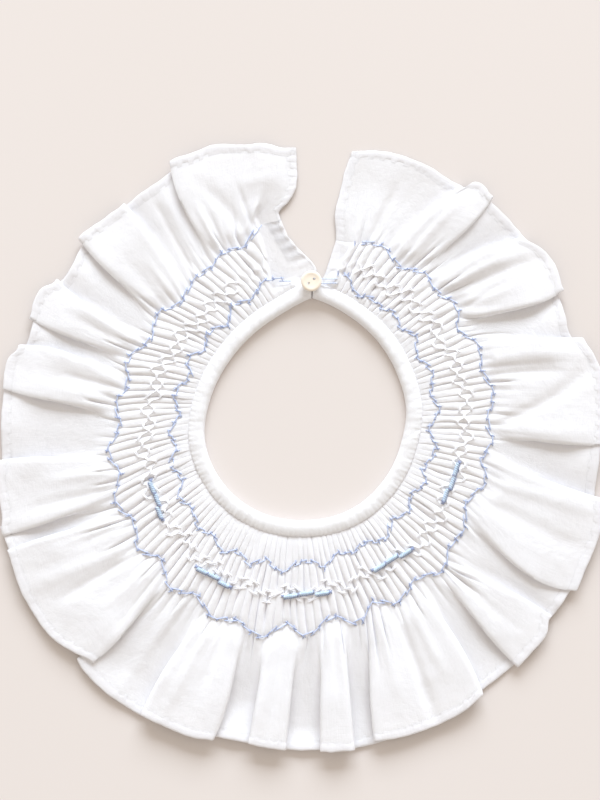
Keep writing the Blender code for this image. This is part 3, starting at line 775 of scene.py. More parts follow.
# %% White cotton
THREAD_PITCH = 0.00034
WAVE_UNIT = 2 * math.pi / 20
SLUB_DEPTH = 0.00004
CRUMPLE_DEPTH = 0.00014
CRUMPLE_SCALE = 420.0


def cotton(name, colour, shade, weave_depth, turn=0.0, board_and_shade_tint=None):
    """Plain-woven cotton: weave, slubs and crumple. The tint is its colour lying low: painted shade, partly
    the board.
    """
    material, shader = new_material(name, colour, 0.85)
    shader.inputs["Subsurface Weight"].default_value = 0.4
    shader.inputs["Subsurface Radius"].default_value = (1.0, 1.0, 1.0)
    shader.inputs["Subsurface Scale"].default_value = 0.0008
    shader.inputs["Sheen Weight"].default_value = 0.12
    shader.inputs["Sheen Roughness"].default_value = 0.5
    shader.inputs["Specular IOR Level"].default_value = 0.25
    cloth = add_node(material, "ShaderNodeUVMap")
    turned = add_node(material, "ShaderNodeMapping", Rotation=(0, 0, turn))
    link(material, cloth.outputs["UV"], turned.inputs["Vector"])
    layers = []
    slubs = []
    for direction, stretch in (("X", (90, 1700, 1)), ("Y", (1700, 90, 1))):
        threads = add_node(material, "ShaderNodeTexWave", bands_direction=direction)
        threads.inputs["Scale"].default_value = WAVE_UNIT / THREAD_PITCH
        threads.inputs["Distortion"].default_value = 0.6
        link(material, turned.outputs["Vector"], threads.inputs["Vector"])
        layers.append((threads.outputs["Color"], weave_depth))
        stretched = add_node(material, "ShaderNodeMapping", Scale=stretch)
        link(material, turned.outputs["Vector"], stretched.inputs["Vector"])
        slub = add_node(material, "ShaderNodeTexNoise", Scale=1.0, Detail=2.0)
        link(material, stretched.outputs["Vector"], slub.inputs["Vector"])
        layers.append((slub.outputs["Fac"], SLUB_DEPTH))
        slubs.append(slub.outputs["Fac"])
    crumple = add_node(material, "ShaderNodeTexNoise", Scale=CRUMPLE_SCALE, Detail=4.0)
    link(material, turned.outputs["Vector"], crumple.inputs["Vector"])
    layers.append((crumple.outputs["Fac"], CRUMPLE_DEPTH))
    both = add_node(material, "ShaderNodeMath", operation="ADD")
    link(material, slubs[0], both.inputs[0])
    link(material, slubs[1], both.inputs[1])
    half = add_node(material, "ShaderNodeMath", operation="MULTIPLY")
    link(material, both.outputs[0], half.inputs[0])
    half.inputs[1].default_value = 0.5
    white = colour_between(material, half.outputs[0], shade, colour)
    if board_and_shade_tint is not None:
        white = board_and_painted_shade(material, white, board_and_shade_tint)
    link(material, white, shader.inputs["Base Color"])
    bump_chain(material, shader, layers)
    return material


# %% The board seen through the cloth, with painted shade
TOUCHING = 0.4
CLEAR_OF_BOARD = 2.6
# Painted shade: the placket's tint, darker than the board itself.
SINGLE_LAYER_SHADE_TINT = (0.61, 0.60, 0.62)


def mixed(material, factor, low, high):
    """Mixes two colours, each either three plain numbers or a socket."""
    mix = add_node(material, "ShaderNodeMix", data_type="RGBA")
    link(material, factor, mix.inputs["Factor"])
    ends = [socket for socket in mix.inputs if socket.type == "RGBA"]
    for end, colour in zip(ends, (low, high)):
        if isinstance(colour, tuple):
            end.default_value = (*colour, 1)
        else:
            link(material, colour, end)
    return [socket for socket in mix.outputs if socket.type == "RGBA"][0]


def board_and_painted_shade(material, white, board_and_shade_tint):
    """The cloth's white, darker near the board and where it is one layer: painted shade, partly the board
    showing.
    """
    spot = add_node(material, "ShaderNodeTexCoord")
    axes = add_node(material, "ShaderNodeSeparateXYZ")
    link(material, spot.outputs["Object"], axes.inputs["Vector"])
    clear = add_node(material, "ShaderNodeMapRange", interpolation_type="SMOOTHSTEP")
    clear.inputs["From Min"].default_value = TOUCHING * MM
    clear.inputs["From Max"].default_value = CLEAR_OF_BOARD * MM
    link(material, axes.outputs["Z"], clear.inputs["Value"])
    lying = mixed(material, clear.outputs["Result"], board_and_shade_tint, white)
    layer = add_node(material, "ShaderNodeAttribute", attribute_name="single_layer_and_shade")
    return mixed(material, layer.outputs["Fac"], lying, SINGLE_LAYER_SHADE_TINT)


# %% The three cottons
# Painted shade: the batiste's last colour darkens it where it lies low, in the hollows; a little of that is
# the board seen through.
BATISTE = cotton("white_batiste", (0.865, 0.862, 0.90), (0.84, 0.837, 0.87), 0.00002,
                 board_and_shade_tint=(0.80, 0.787, 0.805))
HEM_COTTON = cotton("hemmed_batiste", (0.785, 0.78, 0.81), (0.76, 0.755, 0.78), 0.00002)
BIAS_COTTON = cotton("white_bias_cotton", (0.87, 0.87, 0.90), (0.85, 0.85, 0.88), 0.00003, turn=math.pi / 4)
print("cotton materials:", [m.name for m in (BATISTE, HEM_COTTON, BIAS_COTTON)])

# %% [markdown]
# Every sheet becomes a mesh in the same way: the grid's points are turned into metres, each square of four
# neighbours is a face, and the running lengths in both directions are the UV map. Solidify is applied at
# once, so that the cut edges can be marked sharp: a thin rim that is shaded smoothly looks like a dark line.

# %% A grid of points becomes a sheet of cloth
CLOTH_THICKNESS = 0.22
RIM_ANGLE = 72


def put_in_scene(name, data):
    """An object for a mesh, a light or a camera, in the scene."""
    thing = bpy.data.objects.new(name, data)
    bpy.context.scene.collection.objects.link(thing)
    return thing


def grid_object(name, grid, material, flat=None, closed=False):
    """A mesh from a grid of points in millimetres, with a UV map in metres of cloth."""
    rows, count = grid.shape[:2]
    index = np.arange(rows * count).reshape(rows, count)
    if closed:
        index = np.vstack([index, index[:1]])
    faces = np.stack([index[:-1, :-1], index[:-1, 1:], index[1:, 1:], index[1:, :-1]], axis=-1).reshape(-1, 4)
    mesh = bpy.data.meshes.new(name)
    mesh.from_pydata((grid.reshape(-1, 3) * MM).tolist(), [], faces.tolist())
    if flat is None:
        down = lengths(grid.transpose(1, 0, 2)).transpose()
        along = np.broadcast_to(lengths(grid)[-1], (rows, count))
        flat = np.stack([along, down], axis=-1)
    corners = np.zeros(len(mesh.loops), dtype=np.int32)
    mesh.loops.foreach_get("vertex_index", corners)
    cloth_map = mesh.uv_layers.new(name="cloth")
    cloth_map.data.foreach_set("uv", (flat.reshape(-1, 2)[corners] * MM).ravel())
    mesh.shade_smooth()
    mesh.materials.append(material)
    return put_in_scene(name, mesh)


def apply_modifiers(thing):
    """Makes what an object's modifiers show its own mesh."""
    whole = bpy.data.meshes.new_from_object(thing.evaluated_get(bpy.context.evaluated_depsgraph_get()))
    thing.modifiers.clear()
    thing.data = whole


def thicken(thing, thickness):
    """Gives a sheet its thickness, half to each side, and shades its cut edges crisply."""
    cloth = thing.modifiers.new("cloth thickness", "SOLIDIFY")
    cloth.thickness = thickness * MM
    cloth.offset = 0
    apply_modifiers(thing)
    thing.data.set_sharp_from_angle(angle=math.radians(RIM_ANGLE))
    return thing


def finish_piece(thing, slot, *nodes):
    """Rides a piece on the collar's one body and hides the CAD nodes it stands for. Its slot is not used."""
    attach(thing, "root")
    if nodes:
        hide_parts(*nodes)
    mesh = thing.evaluated_get(bpy.context.evaluated_depsgraph_get()).to_mesh()
    mesh.calc_loop_triangles()
    print(thing.name, "triangles:", len(mesh.loop_triangles))
    return thing


# %% The smocked band and the frill
FRILL_RINGS = 46
frill_shares = np.linspace(0, 1, FRILL_RINGS)


def sample_rows(grid, shares):
    """Points of a grid at fractional rows: shares has one row for each ring and one value for each column."""
    row = shares * (len(grid) - 1)
    low = np.clip(np.floor(row).astype(int), 0, len(grid) - 2)
    f = (row - low)[..., None]
    column = np.broadcast_to(np.arange(grid.shape[1]), low.shape)
    return grid[low, column] * (1 - f) + grid[low + 1, column] * f


band = grid_object("smocked_band", BAND, BATISTE)
# The placket's number, which the material also uses to paint shade.
layer_and_shade_values = band.data.attributes.new("single_layer_and_shade", "FLOAT", "POINT")
layer_and_shade_values.data.foreach_set("value", SINGLE_LAYER_AND_SHADE.ravel().astype(np.float32))
thicken(band, CLOTH_THICKNESS)
ring_shares = np.repeat(frill_shares[:, None], FRILL_COLUMNS, axis=1)
frill = thicken(grid_object("frill", sample_rows(FRILL, ring_shares), BATISTE), CLOTH_THICKNESS)
finish_piece(band, "cotton_batiste", "smocked_frill")
finish_piece(frill, "cotton_batiste", "smocked_frill")

# %% [markdown]
# A hem is the cloth's edge folded over twice and stitched, so it is a narrow, thicker strip round the
# edge. It is swept as a closed section along the frill's own points: out over the top, round the edge
# and back underneath. Where the running stitches pull it in, the top dips and puckers.

# %% The hem of the long edge
Fold = namedtuple("Fold", "inside offset stitch pucker")
HEM_SECTION = [
    Fold(4.8, -0.06, 0.0, 0.0), Fold(4.4, 0.1, 0.1, 0.3), Fold(3.95, 0.17, 0.7, 0.8),
    Fold(3.5, 0.17, 1.0, 1.0), Fold(3.0, 0.26, 0.4, 1.0), Fold(1.8, 0.32, 0.05, 0.7),
    Fold(0.7, 0.3, 0.0, 0.4), Fold(0.1, 0.2, 0.0, 0.2), Fold(-0.12, 0.0, 0.0, 0.1),
    Fold(0.1, -0.2, 0.0, 0.0), Fold(0.6, -0.28, 0.0, 0.0), Fold(2.2, -0.3, 0.0, 0.0),
    Fold(3.9, -0.26, 0.0, 0.0), Fold(4.8, -0.12, 0.0, 0.0),
]
STITCH_PITCH = 5.4
STITCH_DIP = 0.32
PUCKER_PITCH = 3.4
PUCKER_DIP = 0.26
EDGE_WOBBLE = 0.2
HEM_FINENESS = 2.6
NARROW_HEM = 0.36
BOARD_GAP = 0.03


def uneven(run, seed):
    """A length along a hem, stretched and squeezed a little, as hand work is."""
    return run + 0.7 * np.sin(run / 9.1 + seed) + 0.4 * np.sin(run / 3.7 + 2 * seed)


def finer(grid, factor):
    """The same grid with more columns."""
    count = int(grid.shape[1] * factor)
    places = np.linspace(0, grid.shape[1] - 1, count)
    low = np.minimum(places.astype(int), grid.shape[1] - 2)
    f = (places - low)[None, :, None]
    return grid[:, low] * (1 - f) + grid[:, low + 1] * f


def hem_strip(name, surface, normals, pucker, seed, factor, narrow_to=0.0):
    """A folded hem round the last edge of a surface. pucker is how strongly the stitches draw it in. Up to
    narrow_to millimetres from its start it is only a narrow, flat fold."""
    surface, normals = finer(surface, factor), finer(normals, factor)
    depth = lengths(surface.transpose(1, 0, 2))[:, -1]
    run = lengths(surface[-1])
    full = ease((run - narrow_to) / 4.0) if narrow_to else np.ones_like(run)
    width = lerp(NARROW_HEM, 1.0, full)
    phase = (uneven(run, seed) / STITCH_PITCH) % 1.0
    stitch = ease(phase / 0.18) * ease((0.66 - phase) / 0.18) * full
    strength = np.clip(0.45 + 0.4 * np.sin(run / 11.3 + seed) + 0.35 * np.sin(run / 4.1 + 2 * seed), 0.05, 1)
    fold_phase = (uneven(run, seed + 1) / PUCKER_PITCH) % 1.0 - 0.5
    folds = np.exp(-((fold_phase / 0.14) ** 2)) * (0.6 + 0.4 * np.sin(run / 5.3 + seed)) * full
    wobble = EDGE_WOBBLE * (np.sin(run / 2.9 + seed) + 0.6 * np.sin(run / 1.13)) * 0.5 - 0.12 * pucker * folds
    rows = []
    for fold in HEM_SECTION:
        outward = wobble * ease(1 - fold.inside / 2.5)
        share = np.array([1 - (fold.inside * width - outward) / depth])
        stitched = STITCH_DIP * fold.stitch * stitch * strength
        puckered = PUCKER_DIP * pucker * fold.pucker * folds
        offset = (fold.offset - stitched - puckered) * lerp(0.75, 1.0, full)
        rows.append(sample_rows(surface, share)[0] + sample_rows(normals, share)[0] * offset[:, None])
    grid = np.stack(rows)
    grid[..., 2] = np.maximum(grid[..., 2], BOARD_GAP)
    return grid_object(name, grid, HEM_COTTON, closed=True)


outer_hem = hem_strip("outer_hem", FRILL, FRILL_NORMALS, 0.3, 1.0, HEM_FINENESS)
finish_piece(outer_hem, "cotton_batiste")

# %% [markdown]
# The two short ends of the strip are hemmed too, from the neck seam to the corner. There the hem runs
# across the grid and not along it, so each ring is walked from its end and read off at fixed lengths.

# %% The hems of the two short ends
END_REACH = 7.0
END_SAMPLES = 24
END_RINGS = 180
NEAR_END = 60


def end_surface(from_left):
    """A strip of cloth beside one short end, as a grid whose last row is the edge itself."""
    rows = []
    for grid in (BAND, FRILL):
        for ring in grid:
            ring = ring[::-1] if from_left else ring
            near = ring[:NEAR_END]
            walked = lengths(near)
            inside = np.linspace(END_REACH, 0, END_SAMPLES)
            rows.append([np.interp(inside, walked, near[:, axis]) for axis in range(3)])
    surface = np.array(rows).transpose(2, 0, 1)
    steps = lengths(surface[-1])
    even = np.linspace(0, steps[-1], END_RINGS)
    columns = [[np.interp(even, steps, line[:, axis]) for axis in range(3)] for line in surface]
    return np.array(columns).transpose(0, 2, 1)


EndHem = namedtuple("EndHem", "name from_left pucker narrow_to")
END_HEMS = [EndHem("right_end_hem", False, 0.25, 6.0), EndHem("left_end_hem", True, 1.0, 38.0)]
for end in END_HEMS:
    surface = end_surface(end.from_left)
    normals = sheet_normals(surface)
    normals *= np.sign(normals[..., 2:3])
    end_hem = hem_strip(end.name, surface, normals, end.pucker, 2.0 + end.from_left, 1, end.narrow_to)
    finish_piece(end_hem, "cotton_batiste")

# %% [markdown]
# The neck binding is a strip cut on the bias, at 45 degrees to the threads, so that it bends round the
# curve. It is folded over the raw gathers: flat underneath, round at the neck edge and crowned on top.
# Its section is an open curve that starts and ends at the seam, and a sweep carries it round the neck.

# %% The bias binding's section
Turn = namedtuple("Turn", "across height")
BINDING_SECTION = [
    Turn(5.2, 1.15), Turn(6.1, 0.8), Turn(6.0, 0.3), Turn(4.6, 0.24), Turn(2.6, 0.24), Turn(0.9, 0.24),
    Turn(0.0, 0.55), Turn(-0.15, 1.5), Turn(0.25, 2.75), Turn(1.5, 3.55), Turn(3.2, 3.66), Turn(4.9, 3.3),
    Turn(6.2, 2.8), Turn(6.7, 2.45), Turn(6.5, 2.05), Turn(5.9, 1.9),
]
SECTION_STEPS = 34
BINDING_STATIONS = 420
BINDING_CLEAR = 0.35
BINDING_THICKNESS = 0.34
BINDING_UNDERSIDE = 0.2
JOIN_ANGLE = 93.0
JOIN_DEPTH = 0.4


def bias_binding():
    """The folded bias strip, from the left end of the opening round to the right end."""
    clear = degrees(BINDING_CLEAR, NECK[0].radius)
    angle = np.linspace(NECK[0].angle + clear, NECK[-1].angle - clear, BINDING_STATIONS)
    controls = np.array(BINDING_SECTION)
    places = np.linspace(0, len(controls) + 1 - 1e-6, SECTION_STEPS)
    section = spline_weights(places, len(controls)) @ controls
    rows = []
    for across, height in section:
        top = ease((height - 1.0) / 2.0)
        seam_side = ease((across - 3.0) / 3.0)
        pleat = np.cos(2 * np.pi * (angle - BAND_START[0]) / (BAND_END[0] - BAND_START[0]) * PLEATS)
        slant = np.radians(angle - JOIN_ANGLE) * 50 + (across - 3.2)
        ripple = 0.1 * np.sin(angle * 0.41) + 0.08 * np.sin(angle * 0.173 + 1.0) + 0.05 * np.sin(angle * 1.3)
        lift = top * (ripple - JOIN_DEPTH * np.exp(-((slant / 0.8) ** 2)) * 0.8 + seam_side * 0.12 * pleat)
        lift = lift + top * 0.22 * ease(0.5 + slant / 1.2) * np.exp(-np.abs(slant) / 12)
        out = across + seam_side * 0.12 * pleat
        rows.append(place(angle, outside_neck(angle, out), height + lift))
    grid = np.stack(rows)
    grid[..., 2] = np.maximum(grid[..., 2], BINDING_UNDERSIDE)
    return grid


binding_grid = bias_binding()
binding = thicken(grid_object("bias_binding", binding_grid, BIAS_COTTON), BINDING_THICKNESS)
finish_piece(binding, "cotton_bias", "neck_binding")
print("bias strip that shows, mm:", lengths(binding_grid.transpose(1, 0, 2))[:, -1].mean().round(1),
      "by", lengths(binding_grid)[:, -1].max().round())

# %% [markdown]
# Embroidery thread is a set of thin tubes. Curves would be simpler to write, but hundreds of short
# curves are slow to handle, so one small class lays tubes into a single mesh: a ring of points round
# each place of a path, square to the path there.

# %% A mesh made of thread
class Threads:
    """Tubes of thread that become one mesh."""

    def __init__(self):
        self.points = []
        self.faces = []

    def lay(self, path, radius, sides=6):
        """Lays one tube along a path in millimetres, with rounded ends."""
        path = np.asarray(path, dtype=float)
        along = np.gradient(path, axis=0)
        along /= np.linalg.norm(along, axis=1, keepdims=True)
        overhang = along[[0, -1]] * radius * 0.6
        path = np.concatenate([path[:1] - overhang[:1], path, path[-1:] + overhang[1:]])
        along = np.concatenate([along[:1], along, along[-1:]])
        aside = np.cross(along, (0.0, 0.0, 1.0))
        flat = np.linalg.norm(aside, axis=1) < 0.05
        aside[flat] = np.cross(along[flat], (0.3, 1.0, 0.0))
        aside /= np.linalg.norm(aside, axis=1, keepdims=True)
        over = np.cross(aside, along)
        thick = np.full(len(path), radius)
        thick[[0, -1]] = radius * 0.45
        turn = np.linspace(0, 2 * np.pi, sides, endpoint=False)
        ring = np.cos(turn)[None, :, None] * aside[:, None] + np.sin(turn)[None, :, None] * over[:, None]
        base = len(self.points)
        self.points.extend((path[:, None] + ring * thick[:, None, None]).reshape(-1, 3).tolist())
        for j in range(len(path) - 1):
            for i in range(sides):
                a, b = base + j * sides + i, base + j * sides + (i + 1) % sides
                self.faces.append((a, b, b + sides, a + sides))
        self.faces.append(tuple(base + i for i in range(sides))[::-1])
        last = base + (len(path) - 1) * sides
        self.faces.append(tuple(last + i for i in range(sides)))

    def make(self, name, material):
        """The finished object."""
        mesh = bpy.data.meshes.new(name)
        mesh.from_pydata([tuple(c * MM for c in p) for p in self.points], [], self.faces)
        mesh.shade_smooth()
        mesh.materials.append(material)
        return put_in_scene(name, mesh)


def arch(start, end, rise, steps=6):
    """A path from one point to another that rises in the middle and dives at its ends."""
    share = np.linspace(0, 1, steps)[:, None]
    hump = np.sin(np.pi * share) * np.array([0, 0, rise])
    return lerp(np.asarray(start), np.asarray(end), share) + hump


# %% [markdown]
# Stranded cotton has a soft sheen and a twist that you can just see. A wave texture at a slant gives the
# twist, and a noise makes some stretches paler, as on thread that has been handled.

# %% Thread materials
def thread(name, colour, shade, pitch):
    """Stranded embroidery cotton."""
    material, shader = new_material(name, colour, 0.6)
    shader.inputs["Sheen Weight"].default_value = 0.25
    shader.inputs["Sheen Roughness"].default_value = 0.4
    spot = add_node(material, "ShaderNodeTexCoord")
    turned = add_node(material, "ShaderNodeMapping", Rotation=(0.5, 0.4, 0.8))
    link(material, spot.outputs["Object"], turned.inputs["Vector"])
    twist = add_node(material, "ShaderNodeTexWave", bands_direction="DIAGONAL")
    twist.inputs["Scale"].default_value = WAVE_UNIT / pitch
    link(material, turned.outputs["Vector"], twist.inputs["Vector"])
    patches = add_node(material, "ShaderNodeTexNoise", Scale=700.0, Detail=2.0)
    link(material, spot.outputs["Object"], patches.inputs["Vector"])
    colours = colour_between(material, patches.outputs["Fac"], shade, colour)
    link(material, colours, shader.inputs["Base Color"])
    bump_chain(material, shader, [(twist.outputs["Color"], 0.00008)])
    return material


BLUE_THREAD = thread("pale_blue_thread", (0.56, 0.63, 0.82), (0.46, 0.53, 0.74), 0.0005)
# Deeper blue for painted shade, the dots on the rows and the strands along the bars' lower sides, and for the
# bars' end knots.
KNOT_AND_SHADE_BLUE = thread("deep_blue_knots_and_painted_shade", (0.32, 0.37, 0.55), (0.24, 0.29, 0.47), 0.0005)
LOOP_THREAD = thread("loop_thread", (0.70, 0.76, 0.90), (0.58, 0.66, 0.85), 0.0005)
BAR_THREAD = thread("bullion_blue_thread", (0.64, 0.76, 0.89), (0.51, 0.64, 0.81), 0.0005)
WHITE_THREAD = thread("white_thread", (0.88, 0.88, 0.915), (0.85, 0.85, 0.885), 0.0004)
CREAM_THREAD = thread("cream_thread", (0.86, 0.82, 0.72), (0.80, 0.75, 0.64), 0.0004)

# %% [markdown]
# Each blue row is cable stitch, worked in a zigzag: one short stitch over each pair of pleats, the needle
# coming up above the thread at one pleat and below it at the next. So the stitches lie like bricks, side
# by side on every crest, and their ends dive into the cloth, where the shadow makes a darker dot. A second
# mesh in a deeper blue paints that shade as those dots and the small ticks between the stitches.

# %% The two blue rows
STITCH_OVERLAP = 0.2
STRAND_RADIUS = 0.26
DOT_RADIUS = 0.19
BRICK_STEP = 0.5
STITCH_LEAN = 0.2
LONG_TICK = 1.7


def crest_point(pleat, row, lift, out=0.0):
    """A point on a pleat's crest at one of the rows, lifted above it and moved outwards, in millimetres."""
    pleat = np.asarray(pleat, dtype=float)
    angle = band_angle(pleat + 0.5, 1.0 if row is outer_row else 0.3)
    share = np.clip(band_share(angle, row(angle)), 0, 1)
    angle = band_angle(crest_centre(np.floor(pleat), share) + pleat % 1, share)
    radius = row(angle) + out
    height = crest_height(np.floor(pleat).astype(int), share, angle, radius)
    return place(angle, radius, height + lift)


def cable_row(threads, dots, row, last):
    """Cable stitches along one row, from the right end up to a pleat near the left end."""
    for pleat in range(last):
        side = 1 if pleat % 2 else -1
        uneven_step = BRICK_STEP * (1 + 0.35 * math.sin(pleat * 1.7))
        start = crest_point(pleat - STITCH_OVERLAP, row, 0.0, out=side * uneven_step - STITCH_LEAN)
        end = crest_point(pleat + 1 + STITCH_OVERLAP, row, 0.0, out=side * uneven_step + STITCH_LEAN)
        threads.lay(arch(start, end, 0.5, steps=7), STRAND_RADIUS)
        along = (end - start) / np.linalg.norm(end - start)
        slant = along * 0.3 * side
        low = crest_point(pleat, row, 0.05, out=-uneven_step * 1.6)
        high = crest_point(pleat, row, 0.05, out=uneven_step * 1.6)
        # Painted shade: a short dark stroke across the row at each pleat, where the thread dives into the
        # cloth.
        dots.lay(arch(low - slant, high + slant, 0.35, steps=5), DOT_RADIUS, sides=5)
        if pleat % 5 in (0, 3):
            foot = crest_point(pleat, row, -0.1, out=side * LONG_TICK)
            head = crest_point(pleat, row, 0.1, out=side * 0.3)
            tick = arch(head - along * 0.3, foot + along * 0.4, 0.4, steps=5)
            threads.lay(tick, STRAND_RADIUS * 0.8, sides=5)


blue = Threads()
blue_shade_dots = Threads()
cable_row(blue, blue_shade_dots, outer_row, PLEATS - 1)
cable_row(blue, blue_shade_dots, inner_row, PLEATS - 1)
finish_piece(blue.make("blue_cable_rows", BLUE_THREAD), "embroidery_thread")
finish_piece(blue_shade_dots.make("blue_row_shade_dots", KNOT_AND_SHADE_BLUE), "embroidery_thread")

# %% [markdown]
# White thread draws the pleats together in the trellis: a small stitch across each pair at its node, and
# a slanting run on the surface from node to node. White on white, it shows by its height and its shadow.
# The two strands of each small stitch part a little at one end, so that it reads as a V.

# %% The white trellis
NODE_LIFT = 0.12
WHITE_RADIUS = 0.27
RUN_RADIUS = 0.2
TRELLIS_ENDS = (2, 129)


def trellis_point(pleat, offset, lift):
    """A point on a pleat's crest at a row of the trellis, lifted above it."""
    pleat = np.asarray(pleat)
    share = trellis_share(pleat + 0.5, offset)
    angle = band_angle(crest_centre(pleat, share), share)
    radius = lerp(seam_radius(angle), outer_row(angle), share)
    return place(angle, radius, crest_height(pleat, share, angle, radius) + lift)


white = Threads()
for pleat in range(*TRELLIS_ENDS):
    for node in TRELLIS:
        if (pleat + node.parity) % 2:
            continue
        here = trellis_point(pleat, node.offset, 0.0)
        there = trellis_point(pleat + 1, node.offset, 0.0)
        across = (there - here) * 0.3
        aside = np.array([across[1], -across[0], 0]) / np.linalg.norm(across)
        for strand in (-0.24, 0.24):
            spread = 1 + 0.6 * (1 if pleat % 4 < 2 else -1)
            near, far = aside * strand * spread, aside * strand * (2 - spread)
            white.lay(arch(here - across + near, there + across + far, 0.25, steps=5), WHITE_RADIUS, sides=6)
    for low, high in zip(TRELLIS, TRELLIS[1:]):
        path = [trellis_point(pleat, lerp(low.offset, high.offset, s), NODE_LIFT) for s in (0.1, 0.5, 0.9)]
        white.lay(path, RUN_RADIUS, sides=5)
finish_piece(white.make("white_trellis", WHITE_THREAD), "embroidery_thread")

# %% [markdown]
# A bullion knot is thread wound many times round the needle, then laid down like a small roll. Each of
# the five bars has three such rolls, set like steps, with a knot at each end. A darker strand along the
# lower side, away from the light, and one across the end of each roll are painted shade. The winding is
# a helix round a slim core.

# %% The five bullion bars
Bar = namedtuple("Bar", "start end")
BARS = [
    Bar((-65.5, -16.0), (-60.7, -32.5)), Bar((-45.5, -53.4), (-31.2, -62.1)),
    Bar((-8.1, -66.0), (12.3, -64.3)), Bar((31.0, -54.7), (48.0, -45.6)),
    Bar((68.5, -8.2), (61.5, -25.2)),
]
BAR_LEVEL = 3.65
ROLLS = 3
ROLL_RADIUS = 0.66
WINDING_RADIUS = 0.33
WINDING_PITCH = 0.8
ROLL_STEP = 0.42
UNDER_STRAND = 0.24


def bullion_roll(threads, start, end):
    """One wound roll from start to end."""
    start, end = np.asarray(start), np.asarray(end)
    length = np.linalg.norm(end - start)
    along = (end - start) / length
    aside = np.cross(along, (0, 0, 1.0))
    aside /= np.linalg.norm(aside)
    over = np.cross(aside, along)
    turns = int(length / WINDING_PITCH)
    share = np.linspace(0, 1, turns * 8 + 1)
    swell = ROLL_RADIUS * (0.72 + 0.28 * np.sin(np.pi * share) ** 0.5)
    turn = 2 * np.pi * turns * share
    path = lerp(start, end, share[:, None])
    path = path + swell[:, None] * (np.cos(turn)[:, None] * aside + np.sin(turn)[:, None] * over)
    threads.lay(path, WINDING_RADIUS, sides=5)
    threads.lay([start, lerp(start, end, 0.5), end], ROLL_RADIUS * 0.8, sides=8)


bars = Threads()
bar_shades = Threads()
for bar in BARS:
    start, end = np.array([*bar.start, BAR_LEVEL]), np.array([*bar.end, BAR_LEVEL])
    along = (end - start) / np.linalg.norm(end - start)
    aside = np.array([-along[1], along[0], 0])
    lower = aside if aside[1] < 0 else -aside
    for roll in range(ROLLS):
        first, last = lerp(start, end, (roll + 0.06) / ROLLS), lerp(start, end, (roll + 0.94) / ROLLS)
        step = aside * ROLL_STEP * (1 if roll % 2 else -0.6)
        tilt = aside * 0.22
        bullion_roll(bars, first + step - tilt, last + step + tilt)
        # Painted shade: a darker strand under the roll's lower side, away from the light, and one across its
        # end.
        under = lower * 0.92 - np.array([0, 0, 0.25])
        bar_shades.lay(arch(first + step - tilt + under, last + step + tilt + under, 0.15), UNDER_STRAND)
        link_end = last + step + tilt
        bar_shades.lay(arch(link_end - aside * 0.8, link_end + aside * 0.8 + along * 0.3, 0.75), UNDER_STRAND)
    for tip, outward in ((start, -along), (end, along)):
        for turn in (-1, 0, 1):
            far = tip + outward * 0.9 + aside * 0.75 * turn - np.array([0, 0, 0.9])
            bar_shades.lay(arch(tip - outward * 0.3 - aside * 0.5 * turn, far, 0.7), UNDER_STRAND)
finish_piece(bars.make("bullion_bars", BAR_THREAD), "embroidery_thread")
finish_piece(bar_shades.make("bullion_shade_strands_and_knots", KNOT_AND_SHADE_BLUE), "embroidery_thread")

# %% [markdown]
# The button is turned: a flat back, a rolled rim and a shallow dish with two holes. A profile spun round
# its axis makes it, and two drills cut the holes. It stands on a short shank of thread, so that the loop
# can pass under it.

# %% The button
BUTTON_AT = Edge(2.8, 64.7)
BUTTON_UNDERSIDE = 4.75
BUTTON_PROFILE = [
    (0.0, 0.0), (2.2, 0.0), (3.6, 0.08), (4.15, 0.35), (4.45, 0.85), (4.5, 1.3), (4.38, 1.72), (4.05, 2.0),
    (3.6, 2.08), (3.15, 2.04), (2.8, 1.93), (2.4, 1.86), (1.2, 1.82), (0.0, 1.8),
]
BUTTON_SEGMENTS = 72
BUTTON_HOLE = 1.15
BUTTON_HOLE_SPACING = 3.2
BUTTON_HOLE_TURN = 38
BUTTON_EDGE_ANGLE = 40
DRILL_LENGTH = 8.0
DRILL_SIDES = 20


def cream_button_finish():
    """Polished cream button stock, a little cloudy inside."""
    material, shader = new_material("cream_button_finish", (0.87, 0.785, 0.68), 0.32)
    shader.inputs["Coat Weight"].default_value = 0.25
    shader.inputs["Coat Roughness"].default_value = 0.2
    spot = add_node(material, "ShaderNodeTexCoord")
    cloud = add_node(material, "ShaderNodeTexNoise", Scale=260.0, Detail=3.0)
    link(material, spot.outputs["Object"], cloud.inputs["Vector"])
    colours = colour_between(material, cloud.outputs["Fac"], (0.84, 0.75, 0.63), (0.89, 0.81, 0.71))
    link(material, colours, shader.inputs["Base Color"])
    bump_chain(material, shader, [(cloud.outputs["Fac"], 0.00006)])
    return material


def turned_button():
    """The button, with its middle at the origin of its own mesh until it is put in place."""
    build = bmesh.new()
    spokes = []
    for i in range(BUTTON_SEGMENTS):
        turn = 2 * math.pi * i / BUTTON_SEGMENTS
        ring = [(r * math.cos(turn), r * math.sin(turn), z) for r, z in BUTTON_PROFILE[1:-1]]
        spokes.append([build.verts.new([c * MM for c in p]) for p in ring])
    bottom = build.verts.new((0, 0, BUTTON_PROFILE[0][1] * MM))
    top = build.verts.new((0, 0, BUTTON_PROFILE[-1][1] * MM))
    for here, there in zip(spokes, spokes[1:] + spokes[:1]):
        build.faces.new((bottom, there[0], here[0]))
        build.faces.new((top, here[-1], there[-1]))
        for i in range(len(here) - 1):
            build.faces.new((here[i], there[i], there[i + 1], here[i + 1]))
    bmesh.ops.recalc_face_normals(build, faces=build.faces)
    mesh = bpy.data.meshes.new("two_hole_button")
    build.to_mesh(mesh)
    build.free()
    return put_in_scene("two_hole_button", mesh)


